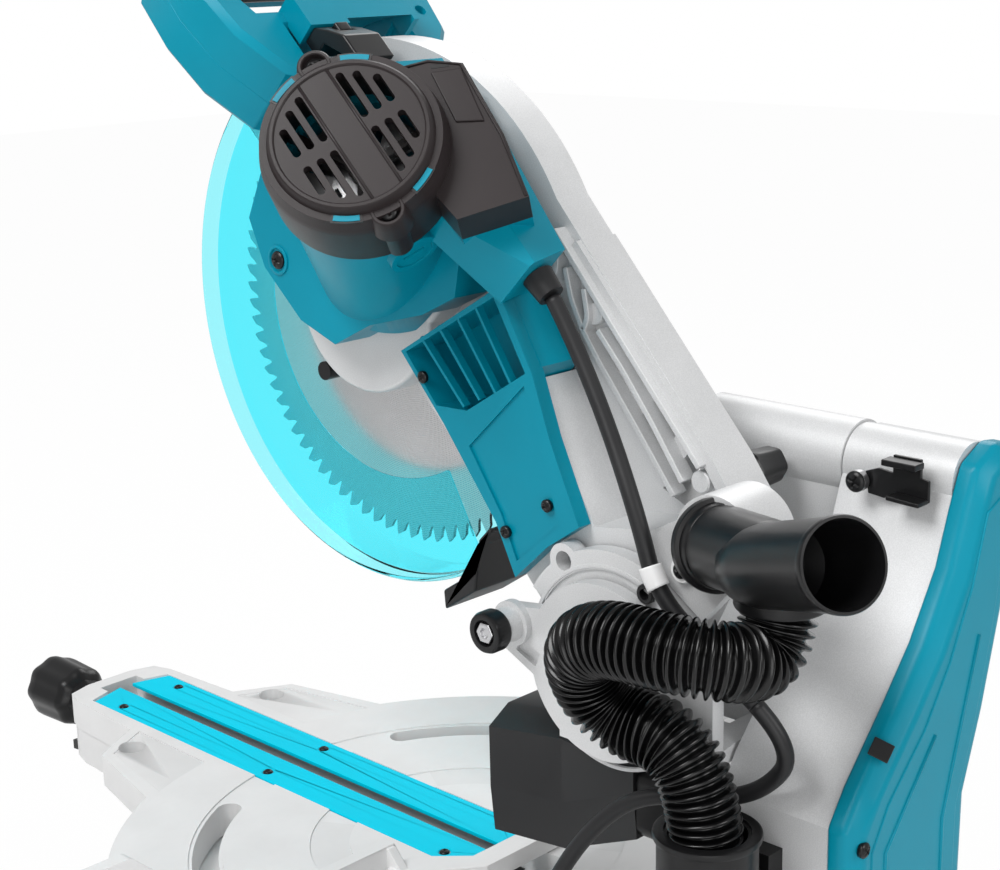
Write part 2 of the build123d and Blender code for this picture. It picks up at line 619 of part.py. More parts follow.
# ---------------------------------------------------------------- carriage on the two rails
CAR_FRONT = 142.0
KNOB_Y = 203.0
KNOB_UP = 403.0
CAR_BACK = TOWER_FRONT - GAP
HOUSE_R = 22.0
BEAR_R = RAIL_R + 3.5
EAR_IN = 62.8
EAR_OUT = 72.0
HUB_R = 34.0
HUB_LEFT = -36.0
HUB_RIGHT = 52.0
FLANGE_RIGHT = 62.0
PIN_SHAFT_R = 11.0
STOP_Y = 117.4
STOP_Z = 322.5
STOP_R = 5.0
TRAY_TOP = PIVOT_Z - HUB_R - 1.5
with BuildPart() as carriage_casting:
    with BuildSketch(front_plane(CAR_BACK)):
        with Locations((RAIL_X, RAIL_Z_UP), (RAIL_X, RAIL_Z_LOW)):
            Circle(HOUSE_R)
        with Locations((RAIL_X + 2, (RAIL_Z_UP + RAIL_Z_LOW) / 2)):
            Rectangle(30, RAIL_Z_UP - RAIL_Z_LOW)
    extrude(amount=CAR_BACK - CAR_FRONT)
    # left ear and its foot
    with BuildSketch(side_plane(HUB_LEFT - 1)):
        with BuildLine():
            Polyline((150, TRAY_TOP - 10), (232, TRAY_TOP - 10), (232, 340), (212, 352), (146, 352),
                     (146, 300),
                     close=True)
        make_face()
    extrude(amount=-(abs(RAIL_X) - abs(HUB_LEFT) - 15))
    # tray under the hub
    with BuildSketch(Plane.XY.offset(TRAY_TOP)):
        with BuildLine():
            Polyline((-62, 150), (EAR_OUT, 150), (EAR_OUT, 246), (30, 240), (-62, 232), close=True)
        make_face()
    extrude(amount=-9)
    with BuildSketch(Plane.XY.offset(TRAY_TOP)):
        for x in (-30, 2, 34):
            with Locations((x, 192)):
                Rectangle(22, 60)
    extrude(amount=-20, mode=Mode.SUBTRACT)
    # right ear: disc about the pivot, nose that carries the stop pin, ribbed tail
    with BuildSketch(side_plane(EAR_IN)):
        with Locations((PIVOT_Y, PIVOT_Z)):
            Circle(50)
        with BuildLine():
            Polyline((101, 309), (112, 331), (146, 336), (200, 330), (256, 320), (256, 272),
                     (232, TRAY_TOP - 9),
                     (170, TRAY_TOP - 9), (141, 290), close=True)
        make_face()
    extrude(amount=EAR_OUT - EAR_IN)
    with BuildSketch(side_plane(EAR_OUT - 3)):
        with BuildLine():
            Polyline((146, 297), (170, 272), (184, 272), (184, 290), (152, 306), close=True)
            Polyline((206, 270), (228, 270), (248, 280), (248, 311), (232, 314), close=True)
        make_face()
        with Locations((127, 307)):
            Rectangle(16, 9, rotation=-24)
    extrude(amount=4, mode=Mode.SUBTRACT)
    with Locations((EAR_OUT + 1.5, STOP_Y, STOP_Z)):
        Cylinder(13, 5, rotation=(0, 90, 0))
    with Locations((EAR_IN + 8, PIVOT_Y, PIVOT_Z)):
        Cylinder(20, 16, rotation=(0, 90, 0))
    with Locations((RAIL_X, 190, RAIL_Z_UP), (RAIL_X, 190, RAIL_Z_LOW)):
        Cylinder(BEAR_R, 240, rotation=(90, 0, 0), mode=Mode.SUBTRACT)
    with Locations((0, PIVOT_Y, PIVOT_Z)):
        Cylinder(PIN_SHAFT_R, 300, rotation=(0, 90, 0), mode=Mode.SUBTRACT)
    with Locations((EAR_OUT, STOP_Y, STOP_Z)):
        Cylinder(STOP_R + RUN, 60, rotation=(0, 90, 0), mode=Mode.SUBTRACT)
    with Locations((-48.2, KNOB_Y, KNOB_UP)):
        Cylinder(4, 28, rotation=(0, 90, 0), mode=Mode.SUBTRACT)
save(carriage_casting.part, "carriage_casting")

with BuildPart() as rail_bearings:
    for z in (RAIL_Z_UP, RAIL_Z_LOW):
        for y in (CAR_FRONT + 13, CAR_BACK - 13):
            with Locations((RAIL_X, y, z)):
                Cylinder(BEAR_R, 24, rotation=(90, 0, 0))
                Cylinder(RAIL_R + RUN, 30, rotation=(90, 0, 0), mode=Mode.SUBTRACT)
save(rail_bearings.part, "rail_bearings")

with BuildPart() as pivot_shaft:
    with Locations(((EAR_OUT + 6 - 58) / 2, PIVOT_Y, PIVOT_Z)):
        Cylinder(PIN_SHAFT_R, EAR_OUT + 6 + 58, rotation=(0, 90, 0))
save(pivot_shaft.part, "pivot_shaft")

with BuildPart() as slide_knob:
    with BuildSketch(side_plane(-40)):
        with Locations((KNOB_Y, KNOB_UP)):
            Circle(13)
            with PolarLocations(15, 6):
                Circle(4.5, mode=Mode.SUBTRACT)
    extrude(amount=17)
    with Locations((-45, KNOB_Y, KNOB_UP)):
        Cylinder(8, 11, rotation=(0, 90, 0))
    fillet(slide_knob.edges().group_by(Axis.X)[-1], 1.5)
    with Locations((-45, KNOB_Y, KNOB_UP)):
        Cylinder(4 + RUN, 30, rotation=(0, 90, 0), mode=Mode.SUBTRACT)
save(slide_knob.part, "slide_knob")

with BuildPart() as slide_stud:
    with Locations((-48.2, KNOB_Y, KNOB_UP)):
        Cylinder(4, 28, rotation=(0, 90, 0))
save(slide_stud.part, "slide_stud")

CAP_X = 86.0
with BuildPart() as stop_pin:
    with Locations(((EAR_IN + CAP_X) / 2 + 1, STOP_Y, STOP_Z)):
        Cylinder(STOP_R, CAP_X - EAR_IN, rotation=(0, 90, 0))
    with BuildSketch(side_plane(CAP_X)):
        with Locations((STOP_Y, STOP_Z)):
            Circle(10.5)
            with PolarLocations(12.5, 8):
                Circle(3, mode=Mode.SUBTRACT)
    extrude(amount=10)
save(stop_pin.part, "stop_pin")

# ---------------------------------------------------------------- head
CASE_R = 163.0
CASE_LEFT = -14.0
CASE_RIGHT = 12.0
CASE_WALL = 4.0
CASE_LOW = -56.0
GUARD_R = 172.0
GUARD_T = 2.5
GUARD_LEFT = -18.5
ELBOW_U = 10.8
ELBOW_V = 106.0
ELBOW_X = 58.0
CHANNEL_X = 50.0
with BuildPart() as arm_casting:
    with BuildSketch(head_plane(CASE_RIGHT)):
        with BuildLine():
            Polyline((0, -HUB_R), (45, -HUB_R), (118, -60), (160, CASE_LOW), (275, CASE_LOW), (275, 119),
                     (53, 102),
                     (30, 98), (-12, 78), (-HUB_R, 0), close=True)
        make_face()
        with Locations((BLADE_U, BLADE_V)):
            Circle(CASE_R)
        with Locations((BLADE_U + 20, CASE_LOW - 100)):
            Rectangle(400, 200, mode=Mode.SUBTRACT)
        with BuildLine():
            Polyline((78, 66), (104, 74), (104, 92), (82, 91), close=True)
            Polyline((112, 78), (146, 86), (146, 96), (112, 93), close=True)
            Polyline((154, 86), (186, 91), (180, 100), (154, 98), close=True)
        make_face(mode=Mode.SUBTRACT)
        with BuildLine():
            Polyline((40, 70), (66, 60), (70, 90), (48, 88), close=True)
        make_face(mode=Mode.SUBTRACT)
    extrude(amount=CASE_RIGHT - CASE_LEFT)
    with BuildSketch(head_plane(16)):
        with BuildLine():
            Polyline((30, 98), (53, 102), (200, 112.5), (200, 106.5), (54, 95), (34, 91), close=True)
        make_face()
    extrude(amount=33)
    # hub, flange sector with the stop hole, channel to the elbow
    with BuildSketch(head_plane(HUB_RIGHT)):
        Circle(HUB_R)
    extrude(amount=HUB_RIGHT - HUB_LEFT)
    with BuildSketch(head_plane(FLANGE_RIGHT)):
        Circle(66)
        with BuildLine():
            Polyline((0, 0), (200, -50), (200, -200), (-200, -200), (-200, 90), close=True)
        make_face(mode=Mode.SUBTRACT)
        Circle(HUB_R)
        with Locations((PIVOT_Y - STOP_Y, STOP_Z - PIVOT_Z)):
            Circle(10)
            Circle(STOP_R + 0.6, mode=Mode.SUBTRACT)
    extrude(amount=FLANGE_RIGHT - HUB_RIGHT)
    with BuildSketch(head_plane(FLANGE_RIGHT)):
        Circle(55)
        Circle(30, mode=Mode.SUBTRACT)
    extrude(amount=1.2, mode=Mode.SUBTRACT)
    with BuildSketch(head_plane(CHANNEL_X)):
        with BuildLine():
            Polyline((0, -30), (74, -27), (150, -18), (150, 60), (66, 37), (42, 70), (34, 96), (-10, 96),
                     (-22, 60),
                     (-30, 0), close=True)
        make_face()
    extrude(amount=CHANNEL_X - CASE_RIGHT)
    with BuildSketch(head_plane(ELBOW_X)):
        with Locations((ELBOW_U, ELBOW_V)):
            Circle(26)
        with BuildLine():
            Polyline((-14, 70), (40, 60), (34, 96), (-12, 96), close=True)
        make_face()
    extrude(amount=34)
    # inside of the blade case and the bores
    with BuildSketch(head_plane(CASE_RIGHT - CASE_WALL)):
        with Locations((BLADE_U, BLADE_V)):
            Circle(CASE_R - 5)
        with Locations((BLADE_U - 200, 0)):
            Rectangle(90, 400, mode=Mode.SUBTRACT)
    extrude(amount=CASE_RIGHT - CASE_LEFT - 2 * CASE_WALL, mode=Mode.SUBTRACT)
    with BuildSketch(head_plane(CASE_LEFT + 1)):
        with Locations((BLADE_U, BLADE_V)):
            Circle(24)
            Circle(12, mode=Mode.SUBTRACT)
    extrude(amount=6)
    with BuildSketch(head_plane(CASE_LEFT + 6)):
        with Locations((BLADE_U, BLADE_V)):
            Circle(12)
    extrude(amount=12, mode=Mode.SUBTRACT)
    with BuildSketch(head_plane(CASE_RIGHT + 1)):
        with Locations((BLADE_U, BLADE_V)):
            Circle(20)
    extrude(amount=10, mode=Mode.SUBTRACT)
    with Locations(head_point(ELBOW_X - 16, ELBOW_U, ELBOW_V)):
        Cylinder(19, 34, rotation=(0, 90, 0), mode=Mode.SUBTRACT)
    with Locations((0, PIVOT_Y, PIVOT_Z)):
        Cylinder(PIN_SHAFT_R + RUN, 300, rotation=(0, 90, 0), mode=Mode.SUBTRACT)
save(arm_casting.part, "arm_casting")

SPINDLE_R = 8.0
GEAR_RIGHT = 30.0
with BuildPart() as gear_housing:
    with BuildSketch(head_plane(GEAR_RIGHT)):
        with Locations((BLADE_U + 8, BLADE_V + 4)):
            Circle(60)
        with BuildLine():
            Polyline((236, -30), (340, -64), (352, 30), (232, 40), close=True)
        make_face()
    extrude(amount=GEAR_RIGHT - CASE_RIGHT)
    fillet(gear_housing.edges().group_by(Axis.X)[-1], 3)
    with BuildSketch(head_plane(GEAR_RIGHT - 4)):
        with Locations((BLADE_U, BLADE_V)):
            Circle(26)
    extrude(amount=10, mode=Mode.SUBTRACT)
    with Locations(BLADE_CENTRE):
        Cylinder(SPINDLE_R + RUN, 80, rotation=(0, 90, 0), mode=Mode.SUBTRACT)
save(gear_housing.part, "gear_housing")

# motor, its axis tilted up and out from the plane of the blade
MOTOR_TILT = 48.8
MOTOR_X = 20.0
MOTOR_U = 284.0
MOTOR_V = -5.0
MOTOR_R = 47.0
MOTOR_SEAM = 122.0
MOTOR_END = 168.0
COVER_R = 51.0
MOTOR_DIR = (cos(radians(MOTOR_TILT)), sin(radians(MOTOR_TILT)) * SIN, sin(radians(MOTOR_TILT)) * COS)


def motor_plane(t):
    """Plane across the motor t along its axis: local x forward, local y down and out, z along the axis."""
    across = cos(radians(MOTOR_TILT)) * t
    up = sin(radians(MOTOR_TILT)) * t
    return Plane(origin=head_point(MOTOR_X + across, MOTOR_U, MOTOR_V + up), x_dir=(0, -COS, SIN),
                 z_dir=MOTOR_DIR)


ROTOR_R = 4.0
BRUSH_T = 106.0
CAP_R = 11.0


def brush_plane(side):
    """Seat of one brush cap, square to the barrel's front (side 1) or back (side -1)."""
    base = motor_plane(BRUSH_T)
    out = base.x_dir * side
    return Plane(origin=base.origin + out * (MOTOR_R - 3), x_dir=base.z_dir, z_dir=out)


COVER_BOX = ((30, -40), (24, -60), (12, -74), (-36, -70), (-74, -62), (-64, -24), (-30, -20))
BOSS_SPOTS = ((47, -5), (-46, 5))
with BuildPart() as motor_housing:
    with BuildSketch(motor_plane(0)):
        Circle(MOTOR_R)
    extrude(amount=MOTOR_SEAM)
    with BuildSketch(head_plane(58)):
        with BuildLine():
            Polyline((262, -50), (292, -64), (336, -66), (366, -54), (384, 0), (386, 60), (330, 88),
                     (239, 88),
                     (216, 52), (226, 24), (250, -16), close=True)
        make_face()
    extrude(amount=58 - GEAR_RIGHT)
    with BuildSketch(Plane(origin=head_point(0, 0, 119), x_dir=(1, 0, 0), z_dir=(0, -SIN, -COS))):
        with BuildLine():
            Polyline((28, 332), (28, 322), (18, 308), (36, 192), (66, 187), (84, 236), (96, 300),
                     (92, 332), close=True)
        make_face()
    extrude(amount=34)
    with BuildSketch(head_plane(GEAR_RIGHT)):
        with Locations((BLADE_U, 0)):
            Rectangle(500, 180)
    extrude(amount=90, mode=Mode.SUBTRACT)
    with BuildSketch(motor_plane(MOTOR_SEAM)):
        Polygon(*COVER_BOX, align=None)
    extrude(amount=-34)
    with BuildSketch(motor_plane(MOTOR_SEAM)):
        Rectangle(300, 170)
    extrude(amount=70, mode=Mode.SUBTRACT)
    for side in (-1, 1):
        with BuildSketch(brush_plane(side)):
            Circle(CAP_R + 3.5)
        extrude(amount=6)
    for side in (-1, 1):
        with BuildSketch(brush_plane(side)):
            Circle(CAP_R + 0.2)
        extrude(amount=40, mode=Mode.SUBTRACT)
    with BuildSketch(motor_plane(46)):
        Circle(MOTOR_R - 5)
    extrude(amount=140, mode=Mode.SUBTRACT)
    with BuildSketch(motor_plane(5)):
        Circle(ROTOR_R + RUN)
    extrude(amount=60, mode=Mode.SUBTRACT)
save(motor_housing.part, "motor_housing")

GRILLE_R = 40.0
with BuildPart() as motor_cover:
    with BuildSketch(motor_plane(MOTOR_SEAM)):
        Circle(COVER_R)
        with Locations(*BOSS_SPOTS):
            Circle(8)
    extrude(amount=30)
    with BuildSketch(motor_plane(MOTOR_SEAM)):
        with BuildLine():
            Polyline(*COVER_BOX, close=True)
        make_face()
    extrude(amount=26)
    with BuildSketch(motor_plane(MOTOR_SEAM + 30)):
        Circle(COVER_R)
    extrude(amount=12, taper=12)
    with BuildSketch(motor_plane(MOTOR_SEAM + 42)):
        Circle(GRILLE_R + 3)
    extrude(amount=MOTOR_END - MOTOR_SEAM - 42)
    with BuildSketch(motor_plane(MOTOR_SEAM)):
        Circle(COVER_R - 4)
    extrude(amount=32, mode=Mode.SUBTRACT)
    with BuildSketch(motor_plane(MOTOR_SEAM + 31)):
        Circle(GRILLE_R - 1)
        Circle(9, mode=Mode.SUBTRACT)
    extrude(amount=9, mode=Mode.SUBTRACT)
    with BuildSketch(motor_plane(MOTOR_SEAM)):
        Circle(8)
        Circle(ROTOR_R + RUN, mode=Mode.SUBTRACT)
        with PolarLocations(28.5, 3, start_angle=30):
            Rectangle(43, 5)
    extrude(amount=6)
    # slots of the grille, a wide band of cover left bare between the two fields
    with BuildSketch(motor_plane(MOTOR_END)):
        for row in (12.5, 20.5, 28.5):
            half = sqrt((GRILLE_R - 4) ** 2 - row * row)
            for side in (-1, 1):
                with Locations((side * (3.5 + half) / 2, row), (side * (3.5 + half) / 2, -row)):
                    SlotOverall(half - 3.5, 4.4)
    extrude(amount=-30, mode=Mode.SUBTRACT)
save(motor_cover.part, "motor_cover")

with BuildPart() as brush_caps:
    for side in (-1, 1):
        with BuildSketch(brush_plane(side)):
            Circle(CAP_R)
        extrude(amount=5)
        with BuildSketch(brush_plane(side).offset(5)):
            Rectangle(2.4, 13)
        extrude(amount=-1.5, mode=Mode.SUBTRACT)
save(brush_caps.part, "brush_caps")

with BuildPart() as armature:
    with BuildSketch(motor_plane(22)):
        Circle(ROTOR_R)
    extrude(amount=MOTOR_SEAM + 6 - 24)
    with BuildSketch(motor_plane(56)):
        Circle(28)
    extrude(amount=46)
    with BuildSketch(motor_plane(108)):
        Circle(38)
        with PolarLocations(25, 8):
            Rectangle(18, 6, mode=Mode.SUBTRACT)
    extrude(amount=8)
save(armature.part, "armature")

# handle: a level loop in front of the blade case, in two shells
HANDLE_TOP = 64.0
HANDLE_SPLIT = 36.0
HANDLE_LOW = 10.0
GUARD_CLEAR = GUARD_R + 3.0


def handle_plane(v):
    """Plane v above the pivot, head lowered: local x is X, local y forward; it extrudes downward."""
    return Plane(origin=head_point(0, 0, v), x_dir=(1, 0, 0), z_dir=(0, -SIN, -COS))


HANDLE_OUTER = ((58, 372), (80, 380), (98, 412), (104, 448), (102, 484), (88, 504), (56, 514), (-24, 514),
                (-54, 504), (-68, 482), (-70, 446), (-64, 404), (-52, 390), (-30, 396), (-28, 412),
                (58, 412))
HANDLE_INNER = ((-12, 428), (74, 428), (82, 446), (82, 466), (74, 476), (-26, 476), (-38, 462), (-36, 444))
TRIGGER_X = 25.0
with BuildPart() as handle_upper:
    with BuildSketch(handle_plane(HANDLE_TOP)):
        Polygon(*HANDLE_OUTER, align=None)
        Polygon(*HANDLE_INNER, align=None, mode=Mode.SUBTRACT)
    extrude(amount=HANDLE_TOP - HANDLE_SPLIT)
    chamfer(handle_upper.faces().sort_by(Axis((0, 0, 0), (0, SIN, COS)))[-1].edges(), 4)
    with BuildSketch(handle_plane(HANDLE_TOP + 14)):
        with BuildLine():
            Polyline((-28, 400), (58, 400), (58, 426), (-28, 426), close=True)
        make_face()
    extrude(amount=16)
    with BuildSketch(head_plane(28)):
        with Locations((BLADE_U, BLADE_V)):
            Circle(GUARD_CLEAR)
    extrude(amount=28 + 24, mode=Mode.SUBTRACT)
    with BuildSketch(head_plane(62)):
        with BuildLine():
            Polyline((372, 34), (386, 34), (386, 100), (372, 100), close=True)
        make_face()
    extrude(amount=3, mode=Mode.SUBTRACT)
    with Locations(Plane(origin=head_point(TRIGGER_X, 482, 36), x_dir=(1, 0, 0), z_dir=(0, SIN, COS))):
        Box(63, 24, 24, mode=Mode.SUBTRACT)
    with BuildSketch(handle_plane(HANDLE_TOP + 5)):
        with Locations((TRIGGER_X, 499)):
            Circle(6.5)
    extrude(amount=14, mode=Mode.SUBTRACT)
    for x, u in ((90, 440), (-52, 420)):
        with BuildSketch(handle_plane(HANDLE_TOP + 1)):
            with Locations((x, u)):
                Circle(4)
        extrude(amount=5, mode=Mode.SUBTRACT)
save(handle_upper.part, "handle_upper")

with BuildPart() as handle_lower:
    with BuildSketch(handle_plane(HANDLE_SPLIT)):
        Polygon(*HANDLE_OUTER, align=None)
        Polygon(*HANDLE_INNER, align=None, mode=Mode.SUBTRACT)
    extrude(amount=HANDLE_SPLIT - HANDLE_LOW)
    chamfer(handle_lower.faces().sort_by(Axis((0, 0, 0), (0, SIN, COS)))[0].edges(), 4)
    with BuildSketch(head_plane(28)):
        with Locations((BLADE_U, BLADE_V)):
            Circle(GUARD_CLEAR)
    extrude(amount=28 + 24, mode=Mode.SUBTRACT)
    with Locations(Plane(origin=head_point(TRIGGER_X, 482, 36), x_dir=(1, 0, 0), z_dir=(0, SIN, COS))):
        Box(63, 24, 24, mode=Mode.SUBTRACT)
save(handle_lower.part, "handle_lower")

with BuildPart() as trigger:
    with Locations(Plane(origin=head_point(TRIGGER_X, 477, 36), x_dir=(1, 0, 0), z_dir=(0, SIN, COS))):
        Box(60, 18, 22)
    fillet(trigger.edges().filter_by(Axis.X), 3)
save(trigger.part, "trigger")

with BuildPart() as lock_button:
    with BuildSketch(handle_plane(HANDLE_TOP + 5)):
        with Locations((TRIGGER_X, 499)):
            Circle(6)
    extrude(amount=9)
save(lock_button.part, "lock_button")

with BuildPart() as control_panel:
    with BuildSketch(head_plane(56)):
        with BuildLine():
            Polyline((386.5, 64.5), (399.5, 64.5), (399.5, 76), (390, 84), (378, 92), (360, 92),
                     (360, 88.5),
                     (386.5, 76), close=True)
        make_face()
    extrude(amount=54)
    with BuildSketch(head_plane(28)):
        with Locations((BLADE_U, BLADE_V)):
            Circle(GUARD_CLEAR)
    extrude(amount=28 + 24, mode=Mode.SUBTRACT)
    with Locations(Plane(origin=head_point(42, 392, 78), x_dir=(1, 0, 0), z_dir=(0, SIN, COS))):
        Box(11, 8, 16, mode=Mode.SUBTRACT)
save(control_panel.part, "control_panel")

with BuildPart() as rocker_switch:
    with Locations(Plane(origin=head_point(42, 392, 79), x_dir=(1, 0, 0), z_dir=(0, SIN, COS))):
        Box(10, 7, 11)
save(rocker_switch.part, "rocker_switch")

GLAND = (50.0, 188.0, 104.0)
with BuildPart() as cord_gland:
    with BuildSketch(Plane(origin=head_point(*GLAND), x_dir=(1, 0, 0), z_dir=(0, COS, -SIN))):
        Circle(9)
    extrude(amount=14, taper=6)
save(cord_gland.part, "cord_gland")

# dust duct beside the arm, its mouth open to the right
DUCT_OUT = 60.0
DUCT_LIP = ((219, -1), (196, 78))
DUCT_TAIL = ((176, 0), (152, 66))
with BuildPart() as dust_duct:
    with BuildSketch(head_plane(DUCT_OUT)):
        with BuildLine():
            Polyline((76, -26), (107, -15), (172, -7), (222, -4), (198, 84), (149, 70), (116, 54), (69, 36),
                     (74.5, 8), close=True)
        make_face()
    extrude(amount=DUCT_OUT - CHANNEL_X - 0.3)
    with BuildSketch(head_plane(CHANNEL_X + 1)):
        with BuildLine():
            Polyline((151, -10), (172, -7), (222, -4), (198, 84), (151, 71), close=True)
        make_face()
    extrude(amount=CHANNEL_X + 1 - 18)
    with BuildSketch(head_plane(DUCT_OUT)):
        with BuildLine():
            Polyline((219, -1), (196, 78), (152, 66), (165, 14), (182, -4), close=True)
        make_face()
    extrude(amount=38, mode=Mode.SUBTRACT)
    with BuildSketch(head_plane(DUCT_OUT)):
        with BuildLine():
            Polyline((150, 0), (108, -8), (82, -18), (78, 24), (118, 46), (148, 60), close=True)
        make_face()
    extrude(amount=1.5, mode=Mode.SUBTRACT)
    # ribs along the mouth
    with BuildSketch(head_plane(DUCT_OUT - 0.5)):
        for k in range(1, 5):
            share = k / 5
            lip = [a + (b - a) * share for a, b in zip(*DUCT_LIP)]
            tail = [a + (b - a) * share for a, b in zip(*DUCT_TAIL)]
            reach = hypot(lip[0] - tail[0], lip[1] - tail[1])
            lean = degrees(atan2(lip[1] - tail[1], lip[0] - tail[0]))
            with Locations(((lip[0] + tail[0]) / 2, (lip[1] + tail[1]) / 2)):
                Rectangle(reach + 6, 1.8, rotation=lean)
    extrude(amount=5)
save(dust_duct.part, "dust_duct")

with BuildPart() as rubber_flap:
    with BuildSketch(head_plane(26)):
        with BuildLine():
            Polyline((118, CASE_LOW), (121.5, CASE_LOW), (121.5, -71), (109, -88), (119.5, -132),
                     (107, -138), (100, -97),
                     (118, -72.2), close=True)
        make_face()
    extrude(amount=52)
save(rubber_flap.part, "rubber_flap")

# elbow of the dust pipe, with an open mouth and a branch for the hose
ELBOW_R = 23.0
ELBOW_KNEE = (88.0, 250.0, 393.0)
ELBOW_MID = (102.0, 306.0, 408.0)
ELBOW_MOUTH = (122.0, 371.0, 424.0)
BRANCH_X = 72.0
BRANCH_Y = 297.0
elbow_start = head_point(ELBOW_X + 4, ELBOW_U, ELBOW_V)
with BuildPart() as dust_elbow:
    with BuildLine() as elbow_path:
        FilletPolyline(elbow_start, ELBOW_KNEE, ELBOW_MID, ELBOW_MOUTH, radius=[22, 60])
    with BuildSketch(Plane(origin=elbow_start, z_dir=elbow_path.line % 0)):
        Circle(ELBOW_R)
    sweep()
    with Locations(head_point(ELBOW_X + 5, ELBOW_U, ELBOW_V)):
        Cylinder(29, 10, rotation=(0, 90, 0))
    with Locations((BRANCH_X, BRANCH_Y, 388)):
        Cylinder(HOSE_R + 4, 24)
    with BuildSketch(Plane(origin=elbow_path.line @ 1, z_dir=elbow_path.line % 1)):
        Circle(ELBOW_R - 3)
    extrude(amount=-50, mode=Mode.SUBTRACT)
    with Locations(head_point(ELBOW_X - 10, ELBOW_U, ELBOW_V)):
        Cylinder(18.5, 30, rotation=(0, 90, 0))
        Cylinder(15, 40, rotation=(0, 90, 0), mode=Mode.SUBTRACT)
    with Locations((BRANCH_X, BRANCH_Y, 390)):
        Cylinder(HOSE_R + 1.3, 30, mode=Mode.SUBTRACT)
save(dust_elbow.part, "dust_elbow")

# ---------------------------------------------------------------- blade and its guard
TOOTH_COUNT = 72
with BuildPart() as blade:
    with BuildSketch(head_plane(BLADE_T / 2)):
        with Locations((BLADE_U, BLADE_V)):
            Circle(BLADE_R)
            Circle(BORE_R, mode=Mode.SUBTRACT)
            with PolarLocations(BLADE_R - 1, TOOTH_COUNT):
                Rectangle(8, 2.6, rotation=24, mode=Mode.SUBTRACT)
    extrude(amount=BLADE_T)
save(blade.part, "blade")

FLANGE_R = 27.0
with BuildPart() as blade_flanges:
    for x in (BLADE_T / 2 + 2.4, -BLADE_T / 2 - 2.4):
        with Locations((x, BLADE_CENTRE[1], BLADE_CENTRE[2])):
            Cylinder(FLANGE_R, 4.8, rotation=(0, 90, 0))
            Cylinder(SPINDLE_R, 10, rotation=(0, 90, 0), mode=Mode.SUBTRACT)
    with Locations(BLADE_CENTRE):
        Cylinder(BORE_R, BLADE_T, rotation=(0, 90, 0))
        Cylinder(SPINDLE_R, 20, rotation=(0, 90, 0), mode=Mode.SUBTRACT)
save(blade_flanges.part, "blade_flanges")

with BuildPart() as spindle:
    with Locations((3, BLADE_CENTRE[1], BLADE_CENTRE[2])):
        Cylinder(SPINDLE_R, 30, rotation=(0, 90, 0))
    with Locations((21, BLADE_CENTRE[1], BLADE_CENTRE[2])):
        Cylinder(24, 8, rotation=(0, 90, 0))
        Cylinder(SPINDLE_R - 1, 12, rotation=(0, 90, 0))
    with Locations((-11, BLADE_CENTRE[1], BLADE_CENTRE[2])):
        Cylinder(10, 9, rotation=(0, 90, 0))
    with BuildSketch(head_plane(-14)):
        with Locations((BLADE_U, BLADE_V)):
            RegularPolygon(4, 6)
    extrude(amount=4, mode=Mode.SUBTRACT)
save(spindle.part, "spindle")

GUARD_REAR = -163.5
GUARD_NOSE = -2.0
guard_span = Polygon((0, 0), *[(260 * cos(radians(a)), 260 * sin(radians(a)))
                               for a in (GUARD_NOSE, -40, -85, -130, GUARD_REAR)], align=None)
with BuildPart() as lower_guard:
    with BuildSketch(head_plane(25)):
        with Locations((BLADE_U, BLADE_V)):
            Circle(GUARD_R)
            Circle(GUARD_R - GUARD_T, mode=Mode.SUBTRACT)
            add(guard_span, mode=Mode.INTERSECT)
    extrude(amount=25 - GUARD_LEFT)
    with BuildSketch(head_plane(15)):
        with Locations((BLADE_U, BLADE_V)):
            Circle(GUARD_R - 0.5)
            Circle(108, mode=Mode.SUBTRACT)
            add(guard_span, mode=Mode.INTERSECT)
    extrude(amount=2)
    with BuildSketch(head_plane(GUARD_LEFT + 2)):
        with Locations((BLADE_U, BLADE_V)):
            Circle(GUARD_R - 0.5)
            add(guard_span, mode=Mode.INTERSECT)
            Circle(34)
            Circle(24 + 0.1, mode=Mode.SUBTRACT)
    extrude(amount=2)
save(lower_guard.part, "lower_guard")

with BuildPart() as spindle_lock:
    with Locations(head_point(24, BLADE_U, BLADE_V - 61.7)):
        Cylinder(6, 10, rotation=(0, 90, 0))
save(spindle_lock.part, "spindle_lock")

# ---------------------------------------------------------------- hose and power cord


def bend_radii(points):
    """Radius of the arc at each turn: tangent to both runs, taking 0.45 of the shorter one."""
    runs = [Vector(*b) - Vector(*a) for a, b in zip(points, points[1:])]
    radii = []
    for first, second in zip(runs, runs[1:]):
        half = radians(first.get_angle(second)) / 2
        radii.append(0.45 * min(first.length, second.length) / tan(half))
    return radii


def tube(points, radius, name):
    """Round cord or hose along straight runs joined by tangent arcs."""
    radii = bend_radii(points)
    print(name, "arc radii mm", [round(r, 1) for r in radii])
    with BuildPart() as piece:
        with BuildLine() as path:
            FilletPolyline(*points, radius=radii)
        with BuildSketch(Plane(origin=path.line @ 0, z_dir=path.line % 0)):
            Circle(radius)
        sweep()
    save(piece.part, name)
    print(name, "length mm", round(sum(edge.length for edge in path.edges()), 1))


